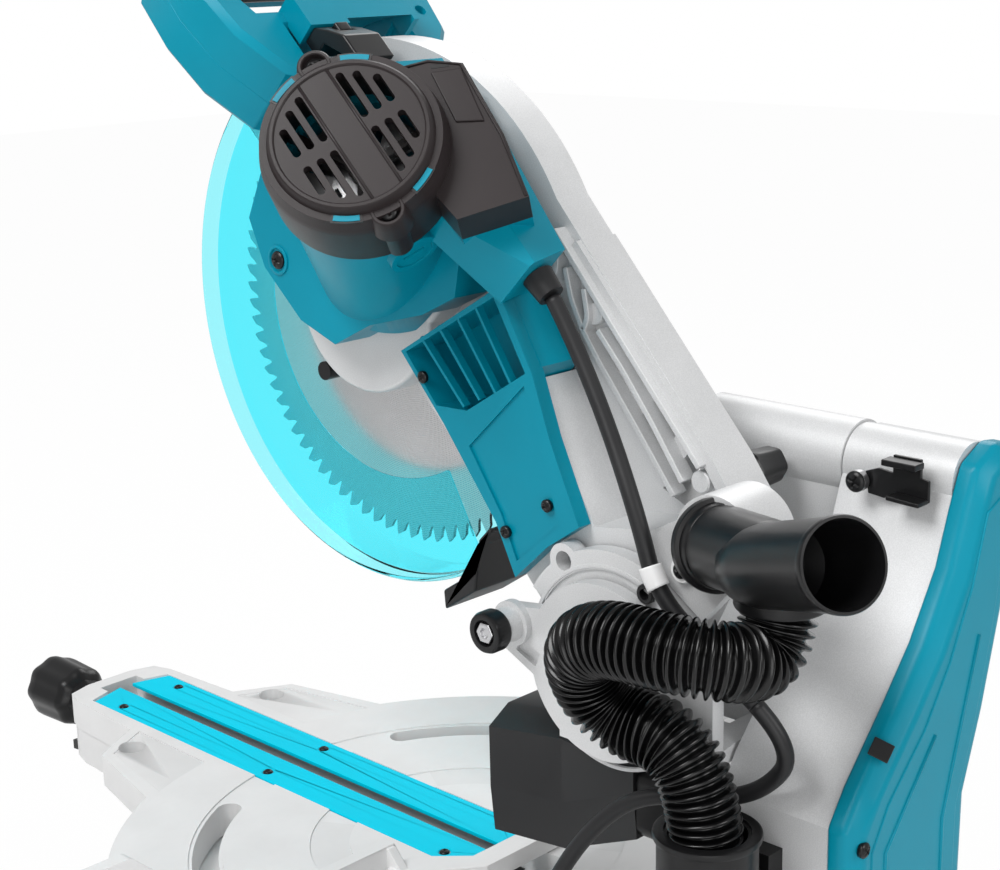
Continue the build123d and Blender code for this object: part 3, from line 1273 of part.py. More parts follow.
HOSE_POINTS = ((BRANCH_X, BRANCH_Y, 402), (BRANCH_X - 2, BRANCH_Y + 1, 346), (121, 292, 358),
               (124, 206, 356),
               (100, 204, 302), (SOCKET_X + 2, SOCKET_Y - 1, 298), (SOCKET_X, SOCKET_Y, SOCKET_Z - 16))
tube(HOSE_POINTS, HOSE_R, "dust_hose")
CORD_R = 5.25
CORD_HEAD = (head_point(50, 173, 104), head_point(50, 146, 99), head_point(56, 96, 90),
             head_point(67, 44, 80),
             head_point(70, 12, 66), (66, 246, 338), (58, 272, 312))
CORD_TOWER = ((57.9, 272.3, 311.7), (51, 294, 290), (52, 274, 262), (60, 244, 251), (74, 208, 248),
              (84, 180, 220),
              (92, 158, 180), (108, 150, 140), (140, 148, 136))
CORD_BENCH = ((140.3, 148, 136), (180, 145.5, 131.5), (228, 150, 136), (266, 166, 100), (276, 190, 44),
              (268, 232, 8), (238.5, 258.3, 6.5))
tube(CORD_HEAD, CORD_R, "cord_head")
tube(CORD_TOWER, CORD_R, "cord_tower")
tube(CORD_BENCH, CORD_R, "cord_bench")

COIL_X, COIL_Y = 196.0, 318.0
with BuildPart() as cord_coil:
    with Locations((COIL_X, COIL_Y, 15.0)):
        Torus(58, 14.9)
save(cord_coil.part, "cord_coil")

with BuildPart() as cord_plug:
    with Locations((COIL_X + 108, COIL_Y - 8, 17)):
        Box(42, 28, 34)
    fillet(cord_plug.edges().filter_by(Axis.X), 5)
    with Locations((COIL_X + 80.0, COIL_Y - 8, 15)):
        Cylinder(5.5, 14.6, rotation=(0, 90, 0))
    with Locations((COIL_X + 136, COIL_Y - 8, 21)):
        Box(18, 4, 6)
    for y in (-7, 7):
        with Locations((COIL_X + 136, COIL_Y - 8 + y, 12)):
            Box(18, 4, 4)
save(cord_plug.part, "cord_plug")
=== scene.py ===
"""Sliding compound mitre saw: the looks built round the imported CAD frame, laid out as an add-on."""

import json
from math import cos, pi, radians, sin

import bpy
import numpy as np
from bpy.props import FloatProperty, FloatVectorProperty, IntProperty, PointerProperty
from mathutils import Matrix

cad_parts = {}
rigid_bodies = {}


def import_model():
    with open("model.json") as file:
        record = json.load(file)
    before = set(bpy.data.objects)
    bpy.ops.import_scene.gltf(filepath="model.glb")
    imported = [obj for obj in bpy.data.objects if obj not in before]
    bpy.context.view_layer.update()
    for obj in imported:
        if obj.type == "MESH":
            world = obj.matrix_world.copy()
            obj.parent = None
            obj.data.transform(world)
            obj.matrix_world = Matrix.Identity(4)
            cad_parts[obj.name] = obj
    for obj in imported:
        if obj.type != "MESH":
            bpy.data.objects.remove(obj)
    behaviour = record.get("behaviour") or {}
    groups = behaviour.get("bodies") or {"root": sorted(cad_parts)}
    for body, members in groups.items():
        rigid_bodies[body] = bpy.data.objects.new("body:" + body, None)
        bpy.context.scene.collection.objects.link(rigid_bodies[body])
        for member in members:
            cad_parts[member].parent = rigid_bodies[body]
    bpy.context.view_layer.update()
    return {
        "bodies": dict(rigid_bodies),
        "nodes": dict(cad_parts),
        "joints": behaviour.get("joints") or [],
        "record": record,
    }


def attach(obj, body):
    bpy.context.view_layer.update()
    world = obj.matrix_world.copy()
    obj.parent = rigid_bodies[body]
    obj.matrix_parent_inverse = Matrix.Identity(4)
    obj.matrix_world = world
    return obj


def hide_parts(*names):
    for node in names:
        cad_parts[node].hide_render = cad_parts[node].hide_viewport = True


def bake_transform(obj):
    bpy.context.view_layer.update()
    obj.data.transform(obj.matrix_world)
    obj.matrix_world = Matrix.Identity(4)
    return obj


bl_info = {
    "name": "Sliding mitre saw",
    "version": (1, 0, 0),
    "blender": (4, 5, 0),
    "location": "View3D > Sidebar > Saw",
    "description": "Dresses the packed mitre saw frame with its finishes and detail pieces",
    "category": "Object",
}

# Sizes of the frame, in metres
PIVOT = np.array((0.0, 0.179, 0.308))
SWING = radians(44.7)
FORWARD = np.array((0.0, -cos(SWING), sin(SWING)))
UP = np.array((0.0, sin(SWING), cos(SWING)))
RIGHT = np.array((1.0, 0.0, 0.0))
TABLE_Z = 0.125
TILT = radians(48.8)
MOTOR_DIR = cos(TILT) * RIGHT + sin(TILT) * UP
MOTOR_DOWN = np.cross(MOTOR_DIR, FORWARD)


def head_point(x, u, v):
    """Place of the point u forward of the chop pivot and v above it, in millimetres, at X = x."""
    return PIVOT + np.array((x / 1000, 0, 0)) + FORWARD * u / 1000 + UP * v / 1000


def motor_point(t, x, y):
    """Place t along the motor's axis, x forward and y down and out from it, in millimetres."""
    return head_point(20, 284, -5) + MOTOR_DIR * t / 1000 + FORWARD * x / 1000 + MOTOR_DOWN * y / 1000


def spot(x, y, z):
    """Place in the frame given in millimetres."""
    return np.array((x, y, z)) / 1000


BLADE_CENTRE = head_point(0, 275, -40.6)

# Bends and mouth of the elbow
ELBOW_TURN = spot(91, 306, 402)
ELBOW_END = spot(120, 370, 424)

# Notch in the cover's bevel, with its three directions in metres for each millimetre
COVER_NOTCH = spot(22.0, 322.5, 290.6)
NOTCH_OUT = np.array((0.55, 0.55, 0.62)) / 1000
NOTCH_OUT /= np.linalg.norm(NOTCH_OUT) * 1000
NOTCH_ALONG = np.array((-0.70, 0.0, 0.71)) / 1000
NOTCH_IN = np.cross(NOTCH_ALONG, NOTCH_OUT)
NOTCH_IN /= np.linalg.norm(NOTCH_IN) * 1000

# Route of the hose and of the power cord: the control points of the frame's tubes, in metres
HOSE = (
    (0.072, 0.297, 0.402), (0.070, 0.298, 0.346), (0.121, 0.292, 0.358), (0.124, 0.206, 0.356),
    (0.100, 0.204, 0.302), (0.093, 0.267, 0.298), (0.091, 0.268, 0.236),
)
CORD_HEAD = (head_point(50, 173, 104), head_point(50, 146, 99), head_point(56, 96, 90),
             head_point(67, 44, 80),
             head_point(70, 12, 66), (0.066, 0.246, 0.338), (0.058, 0.272, 0.312))
CORD_TOWER = ((0.0579, 0.2723, 0.3117), (0.051, 0.294, 0.290), (0.052, 0.274, 0.262), (0.060, 0.244, 0.251),
              (0.074, 0.208, 0.248), (0.084, 0.180, 0.220), (0.092, 0.158, 0.180), (0.108, 0.150, 0.140),
              (0.140, 0.148, 0.136))
CORD_BENCH = ((0.1403, 0.148, 0.136), (0.180, 0.1455, 0.1315), (0.228, 0.150, 0.136), (0.266, 0.166, 0.100),
              (0.276, 0.190, 0.044), (0.268, 0.232, 0.008), (0.2385, 0.2583, 0.0065))

# Seats of the trim, in millimetres: faces of the housing's side, the cover's cap and the tower's cover
SIDE_X = 57.6
CAP_T = 164.0
COVER_Y = 328.6
CASE_X = -14.2
BOARD_TOP = 124.2
CASE_CENTRE = (275, -40.6)

# Camera of the main view: azimuth, pitch and roll in degrees, then its lens and its place in metres
VIEW_TURN = (134.588, 14.718, -1.330)
VIEW_LENS = 66.299
VIEW_PLACE = (0.76343, 0.79065, 0.68359)

# Points that the soft lamps look at
LAMP_AIM = (0.0, 0.0, 0.3)
LAMP_AIM_BACK = (0.0, 0.1, 0.3)


class SawColours(bpy.types.PropertyGroup):
    """Base colours of the finishes, linear."""

    teal: FloatVectorProperty(name="Teal plastic", subtype="COLOR", default=(0.0, 0.215, 0.305))
    board: FloatVectorProperty(name="Kerf board", subtype="COLOR", default=(0.0, 0.60, 0.80))
    white: FloatVectorProperty(name="White paint", subtype="COLOR", default=(0.70, 0.70, 0.70))
    silver: FloatVectorProperty(name="Silver paint", subtype="COLOR", default=(0.62, 0.625, 0.63))
    brown: FloatVectorProperty(name="Motor cover", subtype="COLOR", default=(0.020, 0.0155, 0.016))
    black: FloatVectorProperty(name="Black plastic", subtype="COLOR", default=(0.006, 0.006, 0.0065))
    rubber: FloatVectorProperty(name="Rubber", subtype="COLOR", default=(0.014, 0.014, 0.015))
    hose: FloatVectorProperty(name="Hose", subtype="COLOR", default=(0.0022, 0.0022, 0.0024))
    steel: FloatVectorProperty(name="Steel", subtype="COLOR", default=(0.55, 0.55, 0.56))
    guard: FloatVectorProperty(name="Clear guard", subtype="COLOR", default=(0.34, 0.93, 1.0))


class SawSizes(bpy.types.PropertyGroup):
    """Sizes of the dressing pieces, in metres unless said."""

    edge: FloatProperty(name="Cast edge", default=0.0016)
    moulded_edge: FloatProperty(name="Moulded edge", default=0.0013)
    blade_radius: FloatProperty(name="Blade radius", default=0.1525)
    teeth: IntProperty(name="Blade teeth", default=80)
    hose_radius: FloatProperty(name="Hose radius", default=0.0195)
    hose_pitch: FloatProperty(name="Hose ring pitch", default=0.0047)
    cord_radius: FloatProperty(name="Cord radius", default=0.0046)


# ---------------------------------------------------------------- materials


def shader(name):
    """New material with a Principled shader; gives it, its nodes' adder and linker, and the shader."""
    material = bpy.data.materials.new(name)
    material.use_nodes = True
    tree = material.node_tree
    principled = tree.nodes["Principled BSDF"]

    def add(kind, **values):
        node = tree.nodes.new(kind)
        for key, value in values.items():
            if key in node.inputs:
                node.inputs[key].default_value = value
            else:
                setattr(node, key, value)
        return node

    return material, add, tree.links.new, principled


def finish(name, colour, rough, metallic=0.0, coat=0.0, mottle=0.06, mottle_scale=30.0, grain=900.0,
           bump=0.05,
           depth=0.0002, speck=0.0, shine=0.5):
    """Moulded, painted or cast surface: cloudy colour, varied roughness, and a fine grain in height."""
    material, add, link, principled = shader(name)
    place = add("ShaderNodeTexCoord")
    cloud = add("ShaderNodeTexNoise", Scale=mottle_scale, Detail=6.0, Roughness=0.6)
    link(place.outputs["Object"], cloud.inputs["Vector"])
    tint = add("ShaderNodeValToRGB")
    dark = [c * (1 - mottle) for c in colour] + [1]
    light = [min(1.0, c * (1 + mottle)) for c in colour] + [1]
    tint.color_ramp.elements[0].position, tint.color_ramp.elements[0].color = 0.3, dark
    tint.color_ramp.elements[1].position, tint.color_ramp.elements[1].color = 0.7, light
    link(cloud.outputs["Fac"], tint.inputs["Fac"])
    fine = add("ShaderNodeTexNoise", Scale=grain, Detail=3.0, Roughness=0.7)
    link(place.outputs["Object"], fine.inputs["Vector"])
    colour_out = tint.outputs["Color"]
    if speck:
        specks = add("ShaderNodeValToRGB")
        specks.color_ramp.elements[0].position, specks.color_ramp.elements[0].color = 0.42, (1 - speck,
                                                                                             ) * 3 + (1,)
        specks.color_ramp.elements[1].position, specks.color_ramp.elements[1].color = 0.60, (1, 1, 1, 1)
        link(fine.outputs["Fac"], specks.inputs["Fac"])
        both = add("ShaderNodeMix", data_type="RGBA", blend_type="MULTIPLY")
        both.inputs["Factor"].default_value = 1.0
        link(tint.outputs["Color"], both.inputs["A"])
        link(specks.outputs["Color"], both.inputs["B"])
        colour_out = both.outputs["Result"]
    link(colour_out, principled.inputs["Base Color"])
    gloss = add("ShaderNodeMapRange")
    gloss.inputs["From Min"].default_value, gloss.inputs["From Max"].default_value = 0.3, 0.7
    gloss.inputs["To Min"].default_value, gloss.inputs["To Max"].default_value = rough * 0.9, rough * 1.12
    link(cloud.outputs["Fac"], gloss.inputs["Value"])
    link(gloss.outputs["Result"], principled.inputs["Roughness"])
    height = add("ShaderNodeBump", Strength=bump, Distance=depth)
    link(fine.outputs["Fac"], height.inputs["Height"])
    link(height.outputs["Normal"], principled.inputs["Normal"])
    principled.inputs["Metallic"].default_value = metallic
    principled.inputs["Specular IOR Level"].default_value = shine
    principled.inputs["Coat Weight"].default_value = coat
    principled.inputs["Coat Roughness"].default_value = 0.25
    return material


def clear_plastic(name, colour):
    """Tinted see-through plastic, a little uneven in its gloss."""
    material, add, link, principled = shader(name)
    place = add("ShaderNodeTexCoord")
    cloud = add("ShaderNodeTexNoise", Scale=40.0, Detail=2.0)
    link(place.outputs["Object"], cloud.inputs["Vector"])
    gloss = add("ShaderNodeMapRange")
    gloss.inputs["To Min"].default_value, gloss.inputs["To Max"].default_value = 0.02, 0.09
    link(cloud.outputs["Fac"], gloss.inputs["Value"])
    link(gloss.outputs["Result"], principled.inputs["Roughness"])
    principled.inputs["Base Color"].default_value = (*colour, 1)
    principled.inputs["Transmission Weight"].default_value = 1.0
    principled.inputs["IOR"].default_value = 1.12
    return material


def blade_steel(name, colour):
    """Ground blade steel: fine rings round the blade's axis in gloss and height."""
    material, add, link, principled = shader(name)
    place = add("ShaderNodeTexCoord")
    centred = add("ShaderNodeMapping")
    centred.inputs["Location"].default_value = [-c for c in BLADE_CENTRE]
    link(place.outputs["Object"], centred.inputs["Vector"])
    rings = add("ShaderNodeTexWave", wave_type="RINGS", rings_direction="X", Scale=260.0, Distortion=0.6)
    link(centred.outputs["Vector"], rings.inputs["Vector"])
    cloud = add("ShaderNodeTexNoise", Scale=14.0, Detail=5.0)
    link(place.outputs["Object"], cloud.inputs["Vector"])
    tint = add("ShaderNodeValToRGB")
    tint.color_ramp.elements[0].color = [c * 0.86 for c in colour] + [1]
    tint.color_ramp.elements[1].color = [min(1, c * 1.12) for c in colour] + [1]
    link(cloud.outputs["Fac"], tint.inputs["Fac"])
    link(tint.outputs["Color"], principled.inputs["Base Color"])
    gloss = add("ShaderNodeMapRange")
    gloss.inputs["To Min"].default_value, gloss.inputs["To Max"].default_value = 0.24, 0.40
    link(rings.outputs["Fac"], gloss.inputs["Value"])
    link(gloss.outputs["Result"], principled.inputs["Roughness"])
    height = add("ShaderNodeBump", Strength=0.12, Distance=0.0001)
    link(rings.outputs["Fac"], height.inputs["Height"])
    link(height.outputs["Normal"], principled.inputs["Normal"])
    principled.inputs["Metallic"].default_value = 1.0
    return material


def make_finishes(colours):
    """One material for each slot of the record."""
    return {
        "white_metal": finish("white_metal", colours.white, 0.42, mottle=0.03, grain=700, bump=0.10,
                              depth=0.0003,
                              shine=0.3),
        "silver_metal": finish("silver_metal", colours.silver, 0.42, metallic=0.2, mottle=0.03, grain=1500,
                               bump=0.10,
                               depth=0.0002, speck=0.12, shine=0.4),
        "steel": finish("steel", colours.steel, 0.30, metallic=1.0, mottle=0.10, mottle_scale=18,
                        grain=1200, bump=0.06),
        "teal": finish("teal", colours.teal, 0.32, mottle=0.05, mottle_scale=12, grain=1100, bump=0.07,
                       shine=0.16),
        "board": finish("board", colours.board, 0.5, mottle=0.03, mottle_scale=22, grain=800, bump=0.10,
                        shine=0.06),
        "brown_plastic": finish("brown_plastic", colours.brown, 0.38, mottle=0.10, mottle_scale=12,
                                grain=1000,
                                bump=0.10, shine=0.22),
        "black_plastic": finish("black_plastic", colours.black, 0.30, mottle=0.15, mottle_scale=20,
                                grain=900,
                                bump=0.08, shine=0.28),
        "rubber": finish("rubber", colours.rubber, 0.42, mottle=0.15, mottle_scale=25, grain=700, bump=0.12,
                         shine=0.28),
        "hose": finish("hose", colours.hose, 0.22, mottle=0.15, mottle_scale=25, grain=700, bump=0.04,
                       shine=0.34),
        "scale": finish("scale", (0.82, 0.82, 0.82), 0.35, mottle=0.03, grain=600, bump=0.03),
        "clear_guard": clear_plastic("clear_guard", colours.guard),
        "blade": blade_steel("blade", colours.steel),
    }


# ---------------------------------------------------------------- surfaces


def surface(name, grid, material, close_u=False, close_v=False, cap=False, smooth=True):
    """Mesh of a grid of points (rows, columns, 3), its rows or columns closed, its end rows capped."""
    rows, columns = grid.shape[:2]
    index = np.arange(rows * columns).reshape(rows, columns)
    down = np.vstack((index, index[:1])) if close_u else index
    both = np.hstack((down, down[:, :1])) if close_v else down
    faces = np.stack((both[:-1, :-1], both[:-1, 1:], both[1:, 1:], both[1:, :-1]),
                     axis=-1).reshape(-1, 4).tolist()
    if cap:
        faces += [index[0, ::-1].tolist(), index[-1].tolist()]
    mesh = bpy.data.meshes.new(name)
    mesh.from_pydata(grid.reshape(-1, 3).tolist(), [], faces)
    mesh.polygons.foreach_set("use_smooth", np.full(len(faces), smooth))
    mesh.materials.append(material)
    mesh.update()
    piece = bpy.data.objects.new(name, mesh)
    bpy.context.scene.collection.objects.link(piece)
    return piece


def many(name, grids, material, close_v=True, smooth=True):
    """Mesh of several grids of one shape, (count, rows, columns, 3), each closed and capped."""
    grids = np.array(grids)
    count, rows, columns = grids.shape[:3]
    index = np.arange(rows * columns).reshape(rows, columns)
    both = np.hstack((index, index[:, :1])) if close_v else index
    sides = np.stack((both[:-1, :-1], both[:-1, 1:], both[1:, 1:], both[1:, :-1]), axis=-1).reshape(-1, 4)
    shift = np.arange(count)[:, None, None] * rows * columns
    faces = (sides[None] + shift).reshape(-1, 4).tolist()
    if close_v:
        faces += (index[0, ::-1][None, None] + shift).reshape(count, -1).tolist()
        faces += (index[-1][None, None] + shift).reshape(count, -1).tolist()
    mesh = bpy.data.meshes.new(name)
    mesh.from_pydata(grids.reshape(-1, 3).tolist(), [], faces)
    mesh.polygons.foreach_set("use_smooth", np.full(len(faces), smooth))
    mesh.materials.append(material)
    mesh.update()
    piece = bpy.data.objects.new(name, mesh)
    bpy.context.scene.collection.objects.link(piece)
    return piece


def across(axis):
    """Two unit vectors square to the axis and to each other."""
    axis = np.array(axis, float) / np.linalg.norm(axis)
    side = np.cross(axis, (0.0, 0.0, 1.0) if abs(axis[2]) < 0.9 else (1.0, 0.0, 0.0))
    side /= np.linalg.norm(side)
    return axis, side, np.cross(axis, side)


def screw_grid(place, axis, radius, turn=0.4):
    """Domed screw head: a flat dome over the radius, with a cross sunk where one of two bars covers it."""
    axis, side, up = across(axis)
    share = np.concatenate(([1.0, 1.0], np.linspace(0.97, 0.02, 17)))[:, None]
    angle = np.linspace(0, 2 * pi, 64, endpoint=False)[None, :]
    high = 0.62 * radius * np.sqrt(1.0 - 0.85 * share ** 2)
    a, b = np.abs(share * np.cos(angle + turn)), np.abs(share * np.sin(angle + turn))
    cross = ((a < 0.62) & (b < 0.15)) | ((b < 0.62) & (a < 0.15))
    high = np.where(cross, high - 0.34 * radius, high)
    high[0] = -0.3 * radius
    flat = radius * share
    return (np.array(place) + high[..., None] * axis + (flat * np.cos(angle))[..., None] * side
            + (flat * np.sin(angle))[..., None] * up)


def screws(name, spots, material, body):
    """Screw heads on one body, one mesh."""
    piece = many(name, [screw_grid(place, axis, radius, 0.4 + 0.7 * k) for k,
                        (place, axis, radius) in enumerate(spots)],
                 material)
    return put(piece, body)


def put(piece, body):
    """Sets the body that the piece rides on."""
    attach(piece, body)
    return piece


def prism(name, outline, lift, low, high, material, edge=0.0006, smooth=False):
    """Flat-topped block: its outline at two heights; lift maps (outline point, height) to the frame."""
    rows = np.array([[lift(a, b, h) for a, b in outline] for h in (low, high)])
    piece = surface(name, rows, material, close_v=True, cap=True, smooth=smooth)
    return round_edges(piece, edge)


def round_edges(piece, width, angle=30):
    """Rounded edges with flat faces kept flat."""
    outward = piece.modifiers.new("edge", "BEVEL")
    outward.width = width
    outward.segments = 3
    outward.limit_method = "ANGLE"
    outward.angle_limit = radians(angle)
    outward.harden_normals = False
    shade(piece)
    return piece


def shade(piece):
    """Smooth faces with sharp edges kept, by one shared node group, then normals led by the large faces."""
    if "smooth_faces" not in bpy.data.node_groups:
        group = bpy.data.node_groups.new("smooth_faces", "GeometryNodeTree")
        group.interface.new_socket("Geometry", in_out="INPUT", socket_type="NodeSocketGeometry")
        group.interface.new_socket("Geometry", in_out="OUTPUT", socket_type="NodeSocketGeometry")
        start, end = group.nodes.new("NodeGroupInput"), group.nodes.new("NodeGroupOutput")
        faces = group.nodes.new("GeometryNodeSetShadeSmooth")
        edges = group.nodes.new("GeometryNodeSetShadeSmooth")
        edges.domain = "EDGE"
        edges.inputs["Shade Smooth"].default_value = False
        bend = group.nodes.new("GeometryNodeInputMeshEdgeAngle")
        sharp = group.nodes.new("FunctionNodeCompare")
        sharp.operation = "GREATER_THAN"
        sharp.inputs[1].default_value = radians(34)
        group.links.new(start.outputs[0], faces.inputs["Geometry"])
        group.links.new(bend.outputs["Unsigned Angle"], sharp.inputs[0])
        group.links.new(faces.outputs[0], edges.inputs["Geometry"])
        group.links.new(sharp.outputs[0], edges.inputs["Selection"])
        group.links.new(edges.outputs[0], end.inputs[0])
    nodes = piece.modifiers.new("smooth", "NODES")
    nodes.node_group = bpy.data.node_groups["smooth_faces"]
    weights = piece.modifiers.new("normals", "WEIGHTED_NORMAL")
    weights.keep_sharp = True
    weights.weight = 80


def frames_along(line):
    """Unit tangents, and two unit normals carried along the line with no twist, as (n, 3) arrays."""
    tangent = np.gradient(line, axis=0)
    tangent /= np.linalg.norm(tangent, axis=1, keepdims=True)
    first = np.cross(tangent[0], (0.31, 0.22, 0.93))
    normals = [first / np.linalg.norm(first)]
    for direction in tangent[1:]:
        carried = normals[-1] - direction * (normals[-1] @ direction)
        normals.append(carried / np.linalg.norm(carried))
    side = np.array(normals)
    return tangent, side, np.cross(tangent, side)


def route(name, points):
    """Smooth NURBS line with the points as its control points; gives the curve object and its own line."""
    curve = bpy.data.curves.new(name, "CURVE")
    curve.dimensions = "3D"
    curve.resolution_u = 24
    spline = curve.splines.new("NURBS")
    spline.points.add(len(points) - 1)
    flat = np.hstack((np.array(points, float), np.ones((len(points), 1))))
    spline.points.foreach_set("co", flat.ravel())
    spline.order_u = 3
    spline.use_endpoint_u = True
    piece = bpy.data.objects.new(name, curve)
    bpy.context.scene.collection.objects.link(piece)
    bpy.context.view_layer.update()
    mesh = bpy.data.meshes.new_from_object(piece)
    line = np.zeros(len(mesh.vertices) * 3)
    mesh.vertices.foreach_get("co", line)
    bpy.data.meshes.remove(mesh)
    return piece, line.reshape(-1, 3)


def even(line, step):
    """The line resampled at an even step along its length."""
    along = np.concatenate(([0.0], np.cumsum(np.linalg.norm(np.diff(line, axis=0), axis=1))))
    places = np.linspace(0, along[-1], max(8, int(along[-1] / step)))
    return np.stack([np.interp(places, along, line[:, k]) for k in range(3)], axis=1), places


def tube(name, line, radius, material, sides=24):
    """Round tube along the line; radius is one number or one for each of the line's points."""
    tangent, side, up = frames_along(line)
    angle = np.linspace(0, 2 * pi, sides, endpoint=False)
    size = np.broadcast_to(radius, len(line))[:, None, None]
    grid = line[:, None] + size * (np.cos(angle)[None, :, None] * side[:, None]
                                   + np.sin(angle)[None, :, None] * up[:, None])
    return surface(name, grid, material, close_v=True, cap=True)


def turned(name, profile, origin, axis, material, sides=48, lobes=0, lobe_depth=0.0, open_ring=False):
    """Profile of (along, radius) pairs in millimetres turned round an axis, its radius waved by lobes."""
    profile = np.array(profile, float) / 1000
    axis, side, up = across(axis)
    angle = np.linspace(0, 2 * pi, sides, endpoint=False)
    size = profile[:, 1][:, None] * (1 + lobe_depth * np.cos(lobes * angle)[None, :])
    ring = np.cos(angle)[:, None] * side + np.sin(angle)[:, None] * up
    grid = np.array(origin) + profile[:, 0][:, None, None] * axis + size[:, :, None] * ring[None]
    piece = surface(name, grid, material, close_u=open_ring, close_v=True, cap=not open_ring)
    shade(piece)
    return piece


def soften(piece, width, angle=32):
    """Small rounded edges on a CAD node or a piece."""
    weld = piece.modifiers.new("weld", "WELD")
    weld.merge_threshold = 0.00002
    edge = piece.modifiers.new("edge", "BEVEL")
    edge.width = width
    edge.segments = 3
    edge.limit_method = "ANGLE"
    edge.angle_limit = radians(angle)
    edge.use_clamp_overlap = True
    shade(piece)
    return piece


# ---------------------------------------------------------------- groups

# Nodes whose edges are rounder than the rest, in metres
WIDE_EDGES = {"handle_upper": 0.0045, "handle_lower": 0.0045, "motor_housing": 0.003, "motor_cover": 0.0018,
              "dust_hood": 0.004, "tower_cover": 0.003, "dust_elbow": 0.0006}


class SAW_OT_finishes(bpy.types.Operator):
    """Puts a finish and softened edges on every CAD node"""

    bl_idname = "saw.finishes"
    bl_label = "Finishes"

    def execute(self, context):
        sizes = context.scene.saw_sizes
        slots = {entry["node"]: entry["material_slot"] for entry in FRAME["record"]["subparts"]}
        for name, node in FRAME["nodes"].items():
            node.data.materials.clear()
            node.data.materials.append(FINISHES[slots[name]])
            cast = slots[name] in ("white_metal", "silver_metal")
            soften(node, WIDE_EDGES.get(name, sizes.edge if cast else sizes.moulded_edge))
        return {"FINISHED"}


class SAW_OT_hose(bpy.types.Operator):
    """Ribbed dust hose from the elbow's branch to the socket"""

    bl_idname = "saw.hose"
    bl_label = "Hose"

    def execute(self, context):
        sizes = context.scene.saw_sizes
        curve, line = route("hose_line", HOSE)
        bpy.data.objects.remove(curve)
        line, along = even(line, sizes.hose_pitch / 10)
        wave = np.cos(2 * pi * along / sizes.hose_pitch)
        radius = sizes.hose_radius - 0.0022 + 0.0022 * np.sign(wave) * np.abs(wave) ** 0.6
        half = int(len(line) * 0.765)
        pieces = []
        for name, part in (("hose_upper", slice(0, half + 1)), ("hose_lower", slice(half, None))):
            piece = tube(name, line[part], radius[part], FINISHES["hose"], 56)
            pieces.append(piece)
        upper, lower = pieces
        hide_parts("dust_hose")
        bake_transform(upper)
        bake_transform(lower)
        return {"FINISHED"}


class SAW_OT_blade(bpy.types.Operator):
    """Saw blade with carbide teeth and gullets"""

    bl_idname = "saw.blade"
    bl_label = "Blade"

    def execute(self, context):
        sizes = context.scene.saw_sizes
        steps = 16
        turn = np.linspace(0, 2 * pi, sizes.teeth * steps, endpoint=False)
        share = (turn * sizes.teeth / (2 * pi)) % 1
        depth = np.where(share < 0.08, share / 0.08,
                         np.where(share < 0.55, 1 - 0.32 * (share - 0.08) / 0.47,
                         0.68 * (1 - np.sin((share - 0.55) / 0.45 * pi / 2))))
        rim = sizes.blade_radius - 0.0105 * (1 - depth)
        rings = [np.full_like(turn, 0.0155), np.full_like(turn, 0.03), np.full_like(turn, 0.09),
                 np.full_like(turn, sizes.blade_radius - 0.016), rim]
        layers = [(rings[k], -0.0009) for k in range(4)] + [(rings[4], -0.0011), (rings[4], 0.0011)]
        layers += [(rings[k], 0.0009) for k in (3, 2, 1, 0)]
        grid = np.stack([BLADE_CENTRE + x * RIGHT + r[:, None]
                         * (np.cos(turn)[:, None] * FORWARD - np.sin(turn)[:, None] * UP)
                         for r, x in layers])
        blade = surface("blade_disc", grid, FINISHES["blade"], close_u=True, close_v=True)
        soften(blade, 0.00015, 40)
        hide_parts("blade")
        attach(blade, "blade")
        return {"FINISHED"}


class SAW_OT_cord(bpy.types.Operator):
    """Power cord from the motor housing to its plug"""

    bl_idname = "saw.cord"
    bl_label = "Power cord"

    def execute(self, context):
        sizes = context.scene.saw_sizes
        for name, points, a, b, node in (("cord_a", CORD_HEAD, "head", "carriage", "cord_head"),
                                         ("cord_b", CORD_TOWER, "carriage", "tower", "cord_tower")):
            curve, line = route(name + "_line", points)
            bpy.data.objects.remove(curve)
            line, along = even(line, 0.003)
            piece = tube(name, line, sizes.cord_radius, FINISHES["rubber"])
            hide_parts(node)
            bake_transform(piece)
        turns, per = 6, 14
        angle = np.arange(turns * per + 1) * 2 * pi / per
        layer = np.arange(len(angle)) // per
        start = np.arctan2(0.2583 - 0.318, 0.2385 - 0.196)
        radius = 0.0655 - 0.0098 * (layer % 2) + 0.0012 * np.sin(2.3 * angle)
        high = 0.0052 + 0.0096 * (layer // 2)
        coil = np.stack((0.196 + radius * np.cos(start - angle), 0.318 + radius * np.sin(start - angle),
                         high), axis=1)
        curve, line = route("cord_c", list(CORD_BENCH[:-1]) + coil.tolist()
                            + [(0.262, 0.3005, 0.020), (0.283, 0.310, 0.0165)])
        curve.data.bevel_depth = sizes.cord_radius
        curve.data.bevel_resolution = 5
        curve.data.materials.append(FINISHES["rubber"])
        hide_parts("cord_bench", "cord_coil")
        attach(curve, "base")
        line, along = even(line, 0.002)
        return {"FINISHED"}


